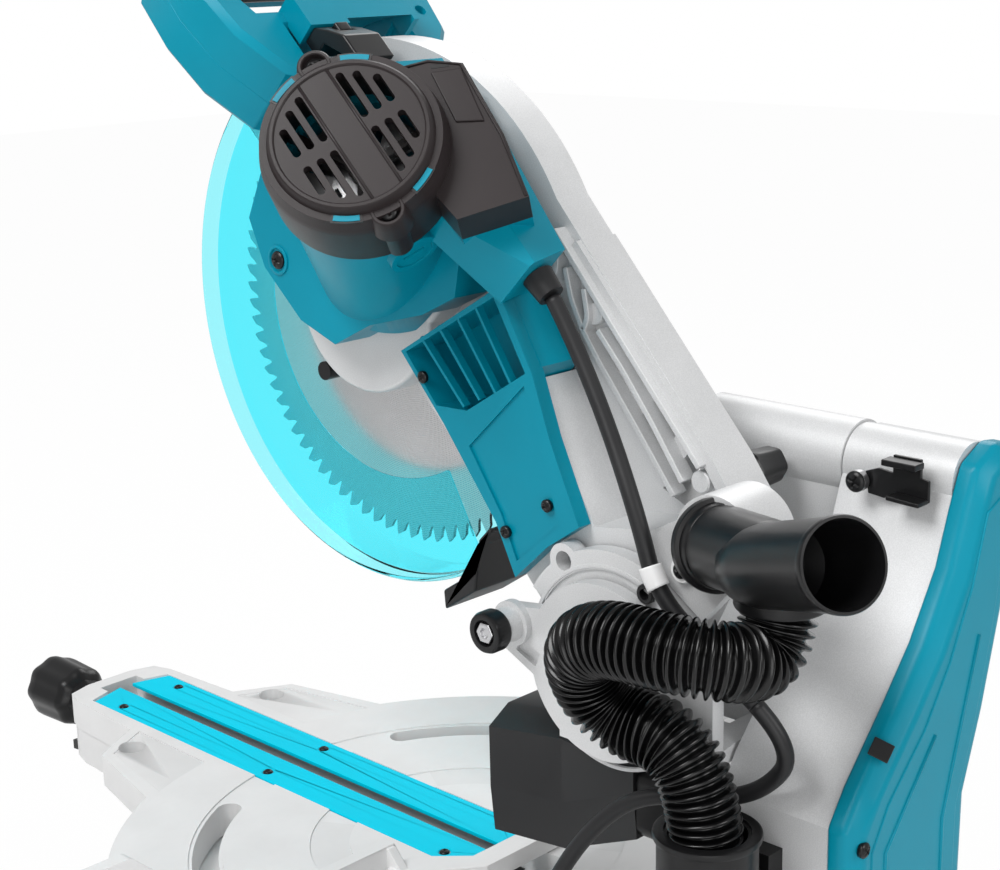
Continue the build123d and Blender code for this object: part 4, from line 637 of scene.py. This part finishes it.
class SAW_OT_motor_trim(bpy.types.Operator):
    """Grille rim, label band, bosses, windows, lid and screws of the motor"""

    bl_idname = "saw.motor_trim"
    bl_label = "Motor trim"

    def execute(self, context):
        dark, black, teal = FINISHES["brown_plastic"], FINISHES["black_plastic"], FINISHES["teal"]
        rim = turned("grille_rim", ((165.0, 39.2), (168.3, 39.6), (169.1, 40.4), (169.1, 42.0),
                                    (168.2, 43.1), (164.2, 44.6),
                                    (163.5, 44.9)), motor_point(0, 0, 0), MOTOR_DIR, dark, 96,
                     open_ring=True)
        put(rim, "head")
        bands = [[motor_point(168.1, -39, y), motor_point(168.1, 39, y)] for y in (-8.6, 8.6)]
        put(bars("grille_band", bands, 0.9, dark), "head")
        pads = []
        for k, (x, y) in enumerate(((47, -5), (-46, 5))):
            place = motor_point(0, x, y)
            boss = turned(f"cover_boss_{k + 1}",
                          ((149, 11.6), (158, 10.6), (163.6, 9.4), (164.4, 8.6), (164.4, 7.4), (163.8, 6.9),
                                                  (160.4, 6.6)), place, MOTOR_DIR, dark, 48)
            put(boss, "head")
            pads.append((motor_point(160.3, x, y), MOTOR_DIR, 0.0054))
        screws("cover_screws", pads, black, "head")
        for k, (angle, half) in enumerate(((147, 8.5), (-156, 8.5), (20, 9.5), (-33, 9.5))):
            frame = sector(f"window_frame_{k + 1}", angle, half + 1.6, 43.9, 49.0, CAP_T, 0.35, black)
            put(frame, "head")
            pane = sector(f"window_{k + 1}", angle, half, 45.0, 48.0, CAP_T, 0.75, teal)
            put(pane, "head")

        def on_box(x, y, h):
            return motor_point(148 + h, x, y)

        lid = prism("cover_lid", ((16.5, -56.5), (9.5, -71.5), (-24, -65.5), (-16, -52.5)), on_box, -0.6,
                    1.3, dark, 0.0007)
        put(lid, "head")
        slots = [((18.6, -57.8), (14.2, -66.8), (16.4, -68.2), (21.0, -58.6)),
                 ((-3.8, -51.6), (-9.8, -50.8), (-8.8, -47.8), (-2.9, -48.8))]
        for k, outline in enumerate(slots):
            put(prism(f"lid_slot_{k + 1}", outline, on_box, -0.5, 0.15, black, 0.0001),
                "head")
        ridge = [[motor_point(148.2, 29, -42), motor_point(148.2, 23.5, -59), motor_point(148.2, 12, -72.5),
                  motor_point(148.2, -36, -68.5), motor_point(148.2, -72.5, -60.8)]]
        put(bars("box_ridge", ridge, 0.8, dark), "head")
        seam = turned("cover_seam",
                      ((119.4, 46.0), (119.8, 47.6), (120.6, 48.0), (121.4, 47.6), (121.8, 46.0)),
                      motor_point(0, 0, 0), MOTOR_DIR, teal, 96, open_ring=True)
        put(seam, "head")
        spots = [(head_point(SIDE_X, 270.7, -17.4), RIGHT, 0.0056),
                 (head_point(SIDE_X, 372, 34), RIGHT, 0.0052),
                 (head_point(SIDE_X, 330, -52), RIGHT, 0.0056),
                 (head_point(SIDE_X, 236, 78), RIGHT, 0.0056)]
        screws("housing_screws", spots, FINISHES["black_plastic"], "head")
        rings = [turned(f"screw_seat_{k + 1}",
                        ((-1.5, 9.6), (0.9, 9.2), (1.3, 8.6), (1.3, 7.6), (0.4, 7.0), (-1.0, 6.9)),
                        np.array(place) + RIGHT * 0.0004, RIGHT, teal, 40, open_ring=True) for k,
                 (place, _, _) in enumerate(spots)]
        for ring in rings:
            put(ring, "head")
        return {"FINISHED"}


class SAW_OT_head_trim(bpy.types.Operator):
    """Screws, ribs, cord clip and small parts on the saw's head"""

    bl_idname = "saw.head_trim"
    bl_label = "Head trim"

    def execute(self, context):
        black, silver = FINISHES["black_plastic"], FINISHES["silver_metal"]
        duct = [(head_point(60.3, u, v), RIGHT, 0.0036) for u,
                v in ((200, -0.5), (90.9, 25.4), (98.5, -12.5))]
        screws("duct_screws", duct, black, "head")

        def arm_side(u, v, h):
            return head_point(12 + h, u, v)

        ribs = [((213, 107.5), (150, 102.4), (57, 95.6)),
                ((153.5, 92.5), (127, 91.0), (92, 86.5), (58, 80.5)),
                ((176, 101), (163, 92), (160, 84)), ((193, 99), (178, 90), (160, 84)),
                ((160, 84), (141, 80.8), (92, 75.0), (56, 70.2)),
                ((206, 104), (196, 92), (193, 80))]
        put(walls("arm_ribs", ribs, arm_side, 3.6, -1.5, 9, silver), "head")
        pads = [turned(f"arm_pad_{k + 1}", ((-2, 6.4), (4.6, 6.2), (5.2, 5.6)), head_point(12, u, v), RIGHT,
                       silver, 32)
                for k, (u, v) in enumerate(((163, 94), (52, 88)))]
        for pad in pads:
            put(pad, "head")
        flange = [turned(f"flange_ring_{k + 1}",
                         ((-0.8, r + 1.4), (0.5, r + 1.0), (0.7, r), (0.5, r - 1.0), (-0.8, r - 1.4)),
                         head_point(60.8 + 1.2 * (k > 0), 0, 0), RIGHT, silver, 96, open_ring=True)
                  for k, r in enumerate((28, 57.0))]
        for ring in flange:
            put(ring, "head")
        curve, line = route("clip_line", CORD_HEAD)
        bpy.data.objects.remove(curve)
        line, _ = even(line, 0.001)
        near = int(np.argmin(np.linalg.norm(line - spot(66, 219.8, 372.2), axis=1)))
        clip = tube("cord_clip", line[near - 6: near + 7], 0.0062, FINISHES["scale"], 32)
        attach(clip, "head")
        stop = turned("cord_stop", ((-8, 5.6), (6, 5.6), (7, 5.0), (7, 3.1), (3.5, 2.9)),
                      spot(58, 205, 357), RIGHT, black, 36)
        put(stop, "head")
        screws("clip_screw", [(spot(61.5, 226.5, 374), RIGHT, 0.0042)], black, "head")
        tab = turned("clip_tab", ((-5.5, 7.0), (-1, 7.0), (0.0, 6.4)), spot(61.5, 226.5, 374), RIGHT,
                     FINISHES["scale"], 32)
        put(tab, "head")

        def flap(u, v, x):
            return head_point(x, u, v)

        block = prism("flap_block", ((121.3, -57.5), (121.3, -70.5), (109.4, -88.4), (116.4, -121),
                                     (107, -129), (100.4, -97.4),
                                     (118.2, -72.6), (118.2, -57.5)), flap, -25.8, 25.8, FINISHES["rubber"],
                      0.0016)
        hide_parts("rubber_flap")
        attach(block, "head")
        cap = turned("arbor_cap", ((-1, 23), (1.2, 22.6), (2.2, 21.4), (2.4, 14), (3.8, 12.6), (4.2, 11),
                                   (4.2, 6.4), (2.6, 6.0)),
                     head_point(-14, *CASE_CENTRE), -RIGHT, silver, 72)
        put(cap, "head")
        sweep = np.linspace(radians(-4), radians(186), 90)
        arcs = [head_arc(radius, sweep, CASE_X) for radius in (150, 92)]
        put(bars("case_rings", arcs, 1.5, silver), "head")
        spokes = [np.stack([head_arc(radius, np.array([a]), CASE_X)[0] for radius in (30, 88)])
                  for a in np.radians(np.arange(5, 186, 30.0))]
        put(bars("case_ribs", spokes, 1.5, silver), "head")
        left = [(head_arc(157.5, np.array([a]), -14.3)[0], -RIGHT, 0.0036)
                for a in np.radians((12.0, 62.0, 112.0, 160.0))]
        screws("case_screws", left, black, "head")
        return {"FINISHED"}


class SAW_OT_elbow(bpy.types.Operator):
    """Elbow of the dust pipe: a collar, two straight pipes that meet, and the hose's branch"""

    bl_idname = "saw.elbow"
    bl_label = "Dust elbow"

    def execute(self, context):
        black = FINISHES["black_plastic"]
        collar = head_point(58, 10.8, 106)
        first = turned("elbow_pipe", ((-2, 24.5), (3.2, 25.0), (4.0, 24.6), (4.4, 22.6), (9, 22.0),
                                      (10, 21.2), (62, 20.6), (70, 19.0),
                                      (76, 14.0), (78, 5.0)), collar - 0.002 * RIGHT, ELBOW_TURN - collar,
                       black, 72)
        put(first, "head")
        mouth = turned("elbow_mouth", ((-34, 4), (-31, 13), (-24, 18.6), (-8, 20.6), (20, 21.0), (58, 21.6),
                                       (61, 22.3), (63.6, 22.3),
                                       (64.4, 21.8), (64.4, 20.6), (60, 20.0), (14, 19.4), (8, 12.0)),
                       ELBOW_TURN,
                       ELBOW_END - ELBOW_TURN, black, 72)
        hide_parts("dust_elbow")
        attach(mouth, "head")
        branch = turned("elbow_branch",
                        ((-14, 20.0), (4, 22.6), (16, 23.2), (17.2, 22.6), (17.2, 20.6), (10, 20.4)),
                        spot(72, 297, 392), -np.array((0.0, 0.0, 1.0)), black, 64)
        put(branch, "head")
        return {"FINISHED"}


def walls(name, runs, lift, width, low, high, material):
    """Straight-sided webs along runs of points on a plane: each is a bar of four corners, resampled."""
    grids = []
    for run in runs:
        line = even_run([(*point, 0.0) for point in run], 1.5)[:, :2]
        share = np.linspace(0, 1, 40)
        old = np.linspace(0, 1, len(line))
        line = np.stack([np.interp(share, old, line[:, k]) for k in range(2)], axis=1)
        along = np.gradient(line, axis=0)
        along /= np.linalg.norm(along, axis=1, keepdims=True)
        aside = np.stack((-along[:, 1], along[:, 0]), axis=1) * width / 2
        corners = ((line + aside, low), (line + aside, high), (line - aside, high), (line - aside, low))
        grids.append(np.stack([[lift(a, b, h) for a, b in side] for side, h in corners], axis=1))
    return round_edges(many(name, grids, material, smooth=False), 0.0009)


def head_arc(radius, angle, x):
    """Arc about the blade's axis: forward by the cosine and up by the sine of the angle, in millimetres."""
    return (head_point(x, *CASE_CENTRE)[None] + radius / 1000
            * (np.cos(angle)[:, None] * FORWARD + np.sin(angle)[:, None] * UP))


def even_run(points, step):
    """Straight runs between the points, resampled evenly, then rounded by three averages of neighbours."""
    line, _ = even(np.array(points), step)
    for _ in range(3):
        line[1:-1] = (line[:-2] + 2 * line[1:-1] + line[2:]) / 4
    return line


def bars(name, lines, radius, material):
    """Round bars along lines, in one mesh; each line is resampled to the same number of points."""
    count = max(2, max(len(line) for line in lines))
    grids = []
    for line in lines:
        line = np.array(line, float)
        share = np.linspace(0, 1, len(line))
        line = np.stack([np.interp(np.linspace(0, 1, count), share, line[:, k]) for k in range(3)], axis=1)
        tangent, side, up = frames_along(line)
        angle = np.linspace(0, 2 * pi, 10, endpoint=False)
        ring = np.cos(angle)[None, :, None] * side[:, None] + np.sin(angle)[None, :, None] * up[:, None]
        grids.append(line[:, None] + radius / 1000 * ring)
    return many(name, grids, material)


def sector(name, angle, half, inner, outer, t, lift, material):
    """Raised patch of a ring about the motor's axis; its border is sunk and its inner grid is flat."""
    turn = radians(angle) + radians(half) * np.array((-1, -1, -0.94, -0.5, 0, 0.5, 0.94, 1, 1))
    radius = np.array((inner, inner, inner + 0.25, (inner + outer) / 2, outer - 0.25, outer, outer))
    high = np.full((len(radius), len(turn)), lift)
    high[[0, -1]] = -0.5
    high[:, [0, -1]] = -0.5
    x, y = radius[:, None] * np.cos(turn), radius[:, None] * np.sin(turn)
    grid = (motor_point(t, 0, 0)
            + (x[..., None] * FORWARD + y[..., None] * MOTOR_DOWN + high[..., None] * MOTOR_DIR) / 1000)
    return surface(name, grid, material, smooth=False)


class SAW_OT_carriage_trim(bpy.types.Operator):
    """Stop knob, slide knob and cap screws on the carriage"""

    bl_idname = "saw.carriage_trim"
    bl_label = "Carriage trim"

    def execute(self, context):
        black, silver, steel = FINISHES["black_plastic"], FINISHES["silver_metal"], FINISHES["steel"]
        axis = spot(0, 117.4, 322.5)
        neck = turned("stop_boss", ((72, 12.4), (74, 11.6), (75, 10.2), (83.6, 9.8), (84.6, 9.2),
                                    (84.6, 5.2)), axis, RIGHT,
                      silver, 56)
        put(neck, "carriage")
        ring = turned("stop_ring", ((85.6, 9.0), (86.2, 11.2), (88, 12.0), (94.5, 12.0), (96.4, 11.2),
                                    (96.8, 10.0), (96.6, 7.6),
                                    (93.8, 7.0)), axis, RIGHT, black, 72)
        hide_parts("stop_pin")
        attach(ring, "stopper")
        hexagon = turned("stop_hex", ((93.0, 6.6), (96.0, 6.4), (96.6, 5.8), (96.6, 3.2), (94.6, 3.0)),
                         axis, RIGHT, steel, 6)
        put(round_edges(hexagon, 0.0003), "stopper")
        knob_at = spot(0, 203, 403)
        knob = turned("slide_grip", ((-51, 8), (-49, 10.2), (-40, 10.6), (-30, 12.0), (-23.6, 13.4),
                                     (-22.2, 12.8), (-21.8, 11.4),
                                     (-22.4, 7.0), (-30, 6.4)), knob_at, RIGHT, black, 72, lobes=6,
                      lobe_depth=0.035)
        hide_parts("slide_knob")
        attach(knob, "slide_clamp")
        cap = turned("carriage_screw", ((-3, 6.2), (4.6, 6.2), (5.4, 5.6), (5.4, 3.2), (2.4, 3.0)),
                     spot(-33.5, 157, 381), RIGHT,
                     black, 36)
        put(cap, "carriage")
        return {"FINISHED"}


class SAW_OT_tower_trim(bpy.types.Operator):
    """Latch bracket, socket screws and cover details on the tower"""

    bl_idname = "saw.tower_trim"
    bl_label = "Tower trim"

    def execute(self, context):
        black, teal = FINISHES["black_plastic"], FINISHES["teal"]

        def latch_side(y, z, h):
            return spot(-51 + h, y, z)

        plate = prism("latch_plate", ((264, 410), (272, 413), (281, 412), (281, 422), (298, 422),
                                      (298, 412), (303, 411), (303, 399),
                                      (283, 400), (276, 397), (266, 398)), latch_side, 0, 2.2, black,
                      0.0005)
        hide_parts("latch_lever")
        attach(plate, "latch")
        fold = prism("latch_fold", ((279, 421), (300, 421), (300, 417.5), (279, 417.5)), latch_side, 2, 11,
                     black, 0.0007)
        put(fold, "latch")
        hook = prism("latch_hook", ((283, 402), (303, 401), (303, 398.6), (283, 399.4)), latch_side, 2, 12,
                     black, 0.0007)
        put(hook, "latch")
        screws("latch_screw", [(spot(-43.4, 262, 405), RIGHT, 0.0058)], FINISHES["black_plastic"],
               "tower")
        screws("socket_screws", [(spot(74, 241.8, 226), -np.array((0, 1.0, 0)), 0.0046),
                                 (spot(58, 272.6, 200), np.array((0, 1.0, 0)), 0.0046)],
               black, "tower")
        rim = turned("socket_rim", ((-3, 26.4), (-2.4, 27.6), (-0.6, 28.2), (1.2, 27.8), (1.8, 26.6),
                                    (1.6, 22.4), (-4, 21.0)),
                     spot(91, 268, 252), (0, 0, 1.0), black, 72, open_ring=True)
        put(rim, "tower")

        def cover_back(x, z, h):
            return spot(x, COVER_Y + h, z)

        panel = prism("cover_panel", ((36, 118), (36, 240), (22, 262), (-10, 292), (-32, 322), (-52, 360),
                                      (-64, 396), (-78, 402),
                                      (-86, 392), (-74, 330), (-60, 280), (-44, 238), (-42, 118)),
                      cover_back, -0.5, 1.2, teal, 0.0009)
        put(panel, "tower")
        seams = [[spot(-30, 329.6, 130), spot(-30, 329.6, 236), spot(-60, 329.6, 330)],
                 [spot(24, 329.6, 130), spot(24, 329.6, 236), spot(-20, 329.6, 286)]]
        put(bars("cover_seams", seams, 1.3, teal), "tower")
        back = np.array((0, 1.0, 0))
        screws("cover_back_screws", [(spot(x, 328.4, z), back, 0.0042) for x,
                                     z in ((42, 122), (-50, 122), (-90, 408), (42, 244))],
               black, "tower")
        notch = prism("cover_notch", ((-4, -5), (7, -5), (7, 5), (-4, 5)), lambda a, b, h: COVER_NOTCH + a
                      * NOTCH_IN + b * NOTCH_ALONG
                      + h * NOTCH_OUT, -0.6, 0.25, FINISHES["black_plastic"], 0.0008)
        put(notch, "tower")
        return {"FINISHED"}


class SAW_OT_table_trim(bpy.types.Operator):
    """Pads, band, board screws, a dark sheet of painted shade in the kerf slot, scale lines and numbers,
    and the grip
    """

    bl_idname = "saw.table_trim"
    bl_label = "Table trim"

    def execute(self, context):
        black = FINISHES["black_plastic"]
        heads = [(spot(x, y, BOARD_TOP), (0, 0, 1.0), 0.0034) for x in (-25.9, 25.9)
                 for y in (-352, -175, 5)]
        screws("board_heads", heads, black, "table")
        # Painted shade: a dark rubber sheet laid low in the kerf slot's trough stands in for the shade
        # inside the slot
        trough_shade_sheet = np.array([[spot(x, y, 106.9) for y in (-388, 36)] for x in (-16.4, 16.4)])
        put(surface("kerf_painted_shade", trough_shade_sheet[::-1], FINISHES["rubber"], smooth=False), "table")
        grey = finish("pad_grey", (0.66, 0.66, 0.66), 0.5, mottle=0.03, grain=900, bump=0.12)
        for side, word in ((1, "right"), (-1, "left")):
            outline = [(side * x, y) for x,
                       y in ((46.6, -302), (81.4, -283.2), (96.2, -206.8), (80, -213.8), (46.6, -222.8))]
            pad = prism(f"table_pad_{word}", outline, lambda x, y, h: spot(x, y, BOARD_TOP + h), -0.1, 0.12,
                        grey, 0.0001)
            put(hole_through(pad, spot(side * 65.3, -284, 124), 0.0102), "table")
            reach = np.linspace(-60.5, 60.5, 49) if side > 0 else np.linspace(119.5, 240.5, 49)
            band = np.array([[spot(r * cos(radians(a)), r * sin(radians(a)), z) for a in reach]
                             for r, z in ((77.4, 123.95), (77.4, 124.05), (102.6, 124.05),
                                          (102.6, 123.95))])
            ring = surface(f"table_ring_{word}", band[::-1], grey, smooth=False)
            put(ring, "table")
        ticks = []
        for degree in range(-60, 61):
            length = 9 if degree % 15 == 0 else (6.5 if degree % 5 == 0 else 4)
            a = radians(degree - 90)
            out, aside = np.array((cos(a), sin(a), 0)), np.array((-sin(a), cos(a), 0))
            ticks.append(bar_grid(out * 0.2425 + spot(0, 0, 77.5), out * length / 1000, aside * 0.0003,
                                  0.00015))
        put(many("scale_ticks", ticks, black, smooth=False), "base")
        for degree in (-60, -45, -30, -15, 0, 15, 30, 45, 60):
            number(f"scale_{'l' if degree < 0 else 'r'}{abs(degree)}", str(abs(degree)), degree, black)
        grip = turned("grip_barrel", ((-422, 14.0), (-424, 16.8), (-430, 17.4), (-442, 15.8), (-447, 16.4),
                                      (-450, 20.6), (-453, 23.2),
                                      (-457, 24.2), (-486, 25.2), (-492, 25.0), (-496.5, 23.6),
                                      (-498.4, 21), (-498.6, 14.4), (-496.8, 13.4))[::-1],
                      spot(0, 0, 96), (0, 1.0, 0), black, 96, lobes=8, lobe_depth=0.035)
        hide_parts("grip_knob")
        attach(grip, "grip")
        return {"FINISHED"}


def bar_grid(start, along, aside, high):
    """Thin raised stroke: a rectangle's four corners at two heights."""
    corners = np.array((start - aside, start + aside, start + along + aside, start + along - aside))
    return np.stack((corners, corners + np.array((0, 0, high))))


def hole_through(piece, place, radius):
    """Round hole square through a flat piece."""
    cutter = turned(piece.name + "_cut", ((-6, radius * 1000), (6, radius * 1000)), place, (0, 0, 1.0),
                    piece.data.materials[0], 48)
    cut = piece.modifiers.new("hole", "BOOLEAN")
    cut.operation = "DIFFERENCE"
    cut.solver = "EXACT"
    cut.object = cutter
    bpy.context.view_layer.update()
    mesh = bpy.data.meshes.new_from_object(piece.evaluated_get(bpy.context.evaluated_depsgraph_get()))
    piece.modifiers.clear()
    piece.data = mesh
    bpy.data.objects.remove(cutter)
    return piece


def number(name, text, degree, material):
    """Flat numeral on the mitre scale, turned to its place on the arc."""
    curve = bpy.data.curves.new(name, "FONT")
    curve.body = text
    curve.size = 0.0062
    curve.align_x = "CENTER"
    curve.extrude = 0.0001
    letter = bpy.data.objects.new(name, curve)
    bpy.context.scene.collection.objects.link(letter)
    bpy.context.view_layer.update()
    mesh = bpy.data.meshes.new_from_object(letter)
    bpy.data.objects.remove(letter)
    a = radians(degree)
    place = Matrix.Rotation(a, 4, "Z") @ Matrix.Translation((0, -0.2588, 0.0776))
    mesh.transform(place)
    mesh.materials.clear()
    mesh.materials.append(material)
    piece = bpy.data.objects.new(name, mesh)
    bpy.context.scene.collection.objects.link(piece)
    return put(piece, "base")


def lamp(name, place, aim, size, power):
    """Soft square lamp."""
    data = bpy.data.lights.new(name, "AREA")
    data.size = size
    data.energy = power
    piece = bpy.data.objects.new(name, data)
    back = np.array(place, float) - np.array(aim, float)
    back /= np.linalg.norm(back)
    side = np.cross((0.0, 0.0, 1.0), back)
    side /= np.linalg.norm(side)
    turn = np.stack((side, np.cross(back, side), back), axis=1)
    piece.matrix_world = Matrix.Translation(place) @ Matrix(turn.tolist()).to_4x4()
    bpy.context.scene.collection.objects.link(piece)


class SAW_OT_stage(bpy.types.Operator):
    """Pale floor, soft studio light and the camera"""

    bl_idname = "saw.stage"
    bl_label = "Stage"

    def execute(self, context):
        scene = context.scene
        scene.view_settings.view_transform = "Standard"
        span = np.linspace(-6, 6, 13)
        grid = np.stack(np.meshgrid(span, span, [0.0], indexing="ij"), axis=-1)[:, :, 0]
        material = bpy.data.materials.new("floor")
        material.use_nodes = True
        tree = material.node_tree
        principled = tree.nodes["Principled BSDF"]
        principled.inputs["Base Color"].default_value = (0.9, 0.9, 0.9, 1)
        principled.inputs["Roughness"].default_value = 0.9
        glow = tree.nodes.new("ShaderNodeEmission")
        mix = tree.nodes.new("ShaderNodeMixShader")
        seen = tree.nodes.new("ShaderNodeLightPath")
        share = tree.nodes.new("ShaderNodeMath")
        share.operation = "MULTIPLY"
        share.inputs[1].default_value = 0.97
        either = tree.nodes.new("ShaderNodeMath")
        either.operation = "MAXIMUM"
        tree.links.new(seen.outputs["Is Camera Ray"], either.inputs[0])
        tree.links.new(seen.outputs["Is Transmission Ray"], either.inputs[1])
        tree.links.new(either.outputs[0], share.inputs[0])
        tree.links.new(share.outputs[0], mix.inputs[0])
        tree.links.new(principled.outputs[0], mix.inputs[1])
        tree.links.new(glow.outputs[0], mix.inputs[2])
        tree.links.new(mix.outputs[0], tree.nodes["Material Output"].inputs["Surface"])
        floor = surface("floor", grid[::-1], material)
        world = bpy.data.worlds.new("studio")
        world.use_nodes = True
        tree = world.node_tree
        back = tree.nodes["Background"]
        back.inputs["Color"].default_value = (1, 1, 1, 1)
        path = tree.nodes.new("ShaderNodeLightPath")
        most = tree.nodes.new("ShaderNodeMath")
        most.operation = "MAXIMUM"
        glossy = tree.nodes.new("ShaderNodeMath")
        glossy.operation = "MULTIPLY_ADD"
        glossy.inputs[1].default_value = 0.35
        level = tree.nodes.new("ShaderNodeMapRange")
        level.inputs["To Min"].default_value, level.inputs["To Max"].default_value = 0.38, 1.0
        tree.links.new(path.outputs["Is Camera Ray"], most.inputs[0])
        tree.links.new(path.outputs["Is Transmission Ray"], most.inputs[1])
        tree.links.new(path.outputs["Is Glossy Ray"], glossy.inputs[0])
        tree.links.new(most.outputs[0], glossy.inputs[2])
        tree.links.new(glossy.outputs[0], level.inputs["Value"])
        tree.links.new(level.outputs["Result"], back.inputs["Strength"])
        scene.world = world
        lamp("key", (1.2, -0.1, 1.9), LAMP_AIM, 0.9, 30)
        lamp("fill", (1.5, 1.6, 0.7), LAMP_AIM_BACK, 1.3, 15)
        lamp("back", (-0.2, 2.0, 1.3), LAMP_AIM_BACK, 0.8, 14)
        lamp("rim", (-1.6, -0.8, 1.6), LAMP_AIM, 1.2, 14)
        yaw, pitch, roll = (radians(angle) for angle in VIEW_TURN)
        back_dir = np.array((sin(yaw) * cos(pitch), -cos(yaw) * cos(pitch), sin(pitch)))
        side = np.cross(-back_dir, (0, 0, 1))
        side /= np.linalg.norm(side)
        upward = np.cross(side, -back_dir)
        turned_side = cos(roll) * side + sin(roll) * upward
        turned_up = -sin(roll) * side + cos(roll) * upward
        camera = bpy.data.cameras.new("camera")
        camera.sensor_width = 36
        camera.lens = VIEW_LENS
        camera.clip_start = 0.01
        eye = bpy.data.objects.new("camera", camera)
        matrix = np.stack((turned_side, turned_up, back_dir), axis=1)
        eye.matrix_world = Matrix.Translation(VIEW_PLACE) @ Matrix(matrix.tolist()).to_4x4()
        scene.collection.objects.link(eye)
        scene.camera = eye
        return {"FINISHED"}


class SAW_PT_panel(bpy.types.Panel):
    """Sidebar panel"""

    bl_label = "Mitre saw"
    bl_space_type = "VIEW_3D"
    bl_region_type = "UI"
    bl_category = "Saw"

    def draw(self, context):
        for group in (context.scene.saw_colours, context.scene.saw_sizes):
            for key in group.bl_rna.properties.keys():
                if key not in ("rna_type", "name"):
                    self.layout.prop(group, key)
        for operator in OPERATORS:
            self.layout.operator(operator.bl_idname)


OPERATORS = (SAW_OT_finishes, SAW_OT_stage, SAW_OT_cord, SAW_OT_hose, SAW_OT_blade, SAW_OT_motor_trim,
             SAW_OT_head_trim, SAW_OT_elbow, SAW_OT_carriage_trim, SAW_OT_tower_trim, SAW_OT_table_trim)
CLASSES = (SawColours, SawSizes, *OPERATORS, SAW_PT_panel)


def register():
    for item in CLASSES:
        bpy.utils.register_class(item)
    bpy.types.Scene.saw_colours = PointerProperty(type=SawColours)
    bpy.types.Scene.saw_sizes = PointerProperty(type=SawSizes)


def unregister():
    del bpy.types.Scene.saw_sizes
    del bpy.types.Scene.saw_colours
    for item in reversed(CLASSES):
        bpy.utils.unregister_class(item)


FRAME = {}
FINISHES = {}


def main():
    register()
    FRAME.update(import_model())
    FINISHES.update(make_finishes(bpy.context.scene.saw_colours))
    for operator in OPERATORS:
        getattr(bpy.ops.saw, operator.bl_idname.split(".")[1])()


if __name__ == "__main__":
    main()
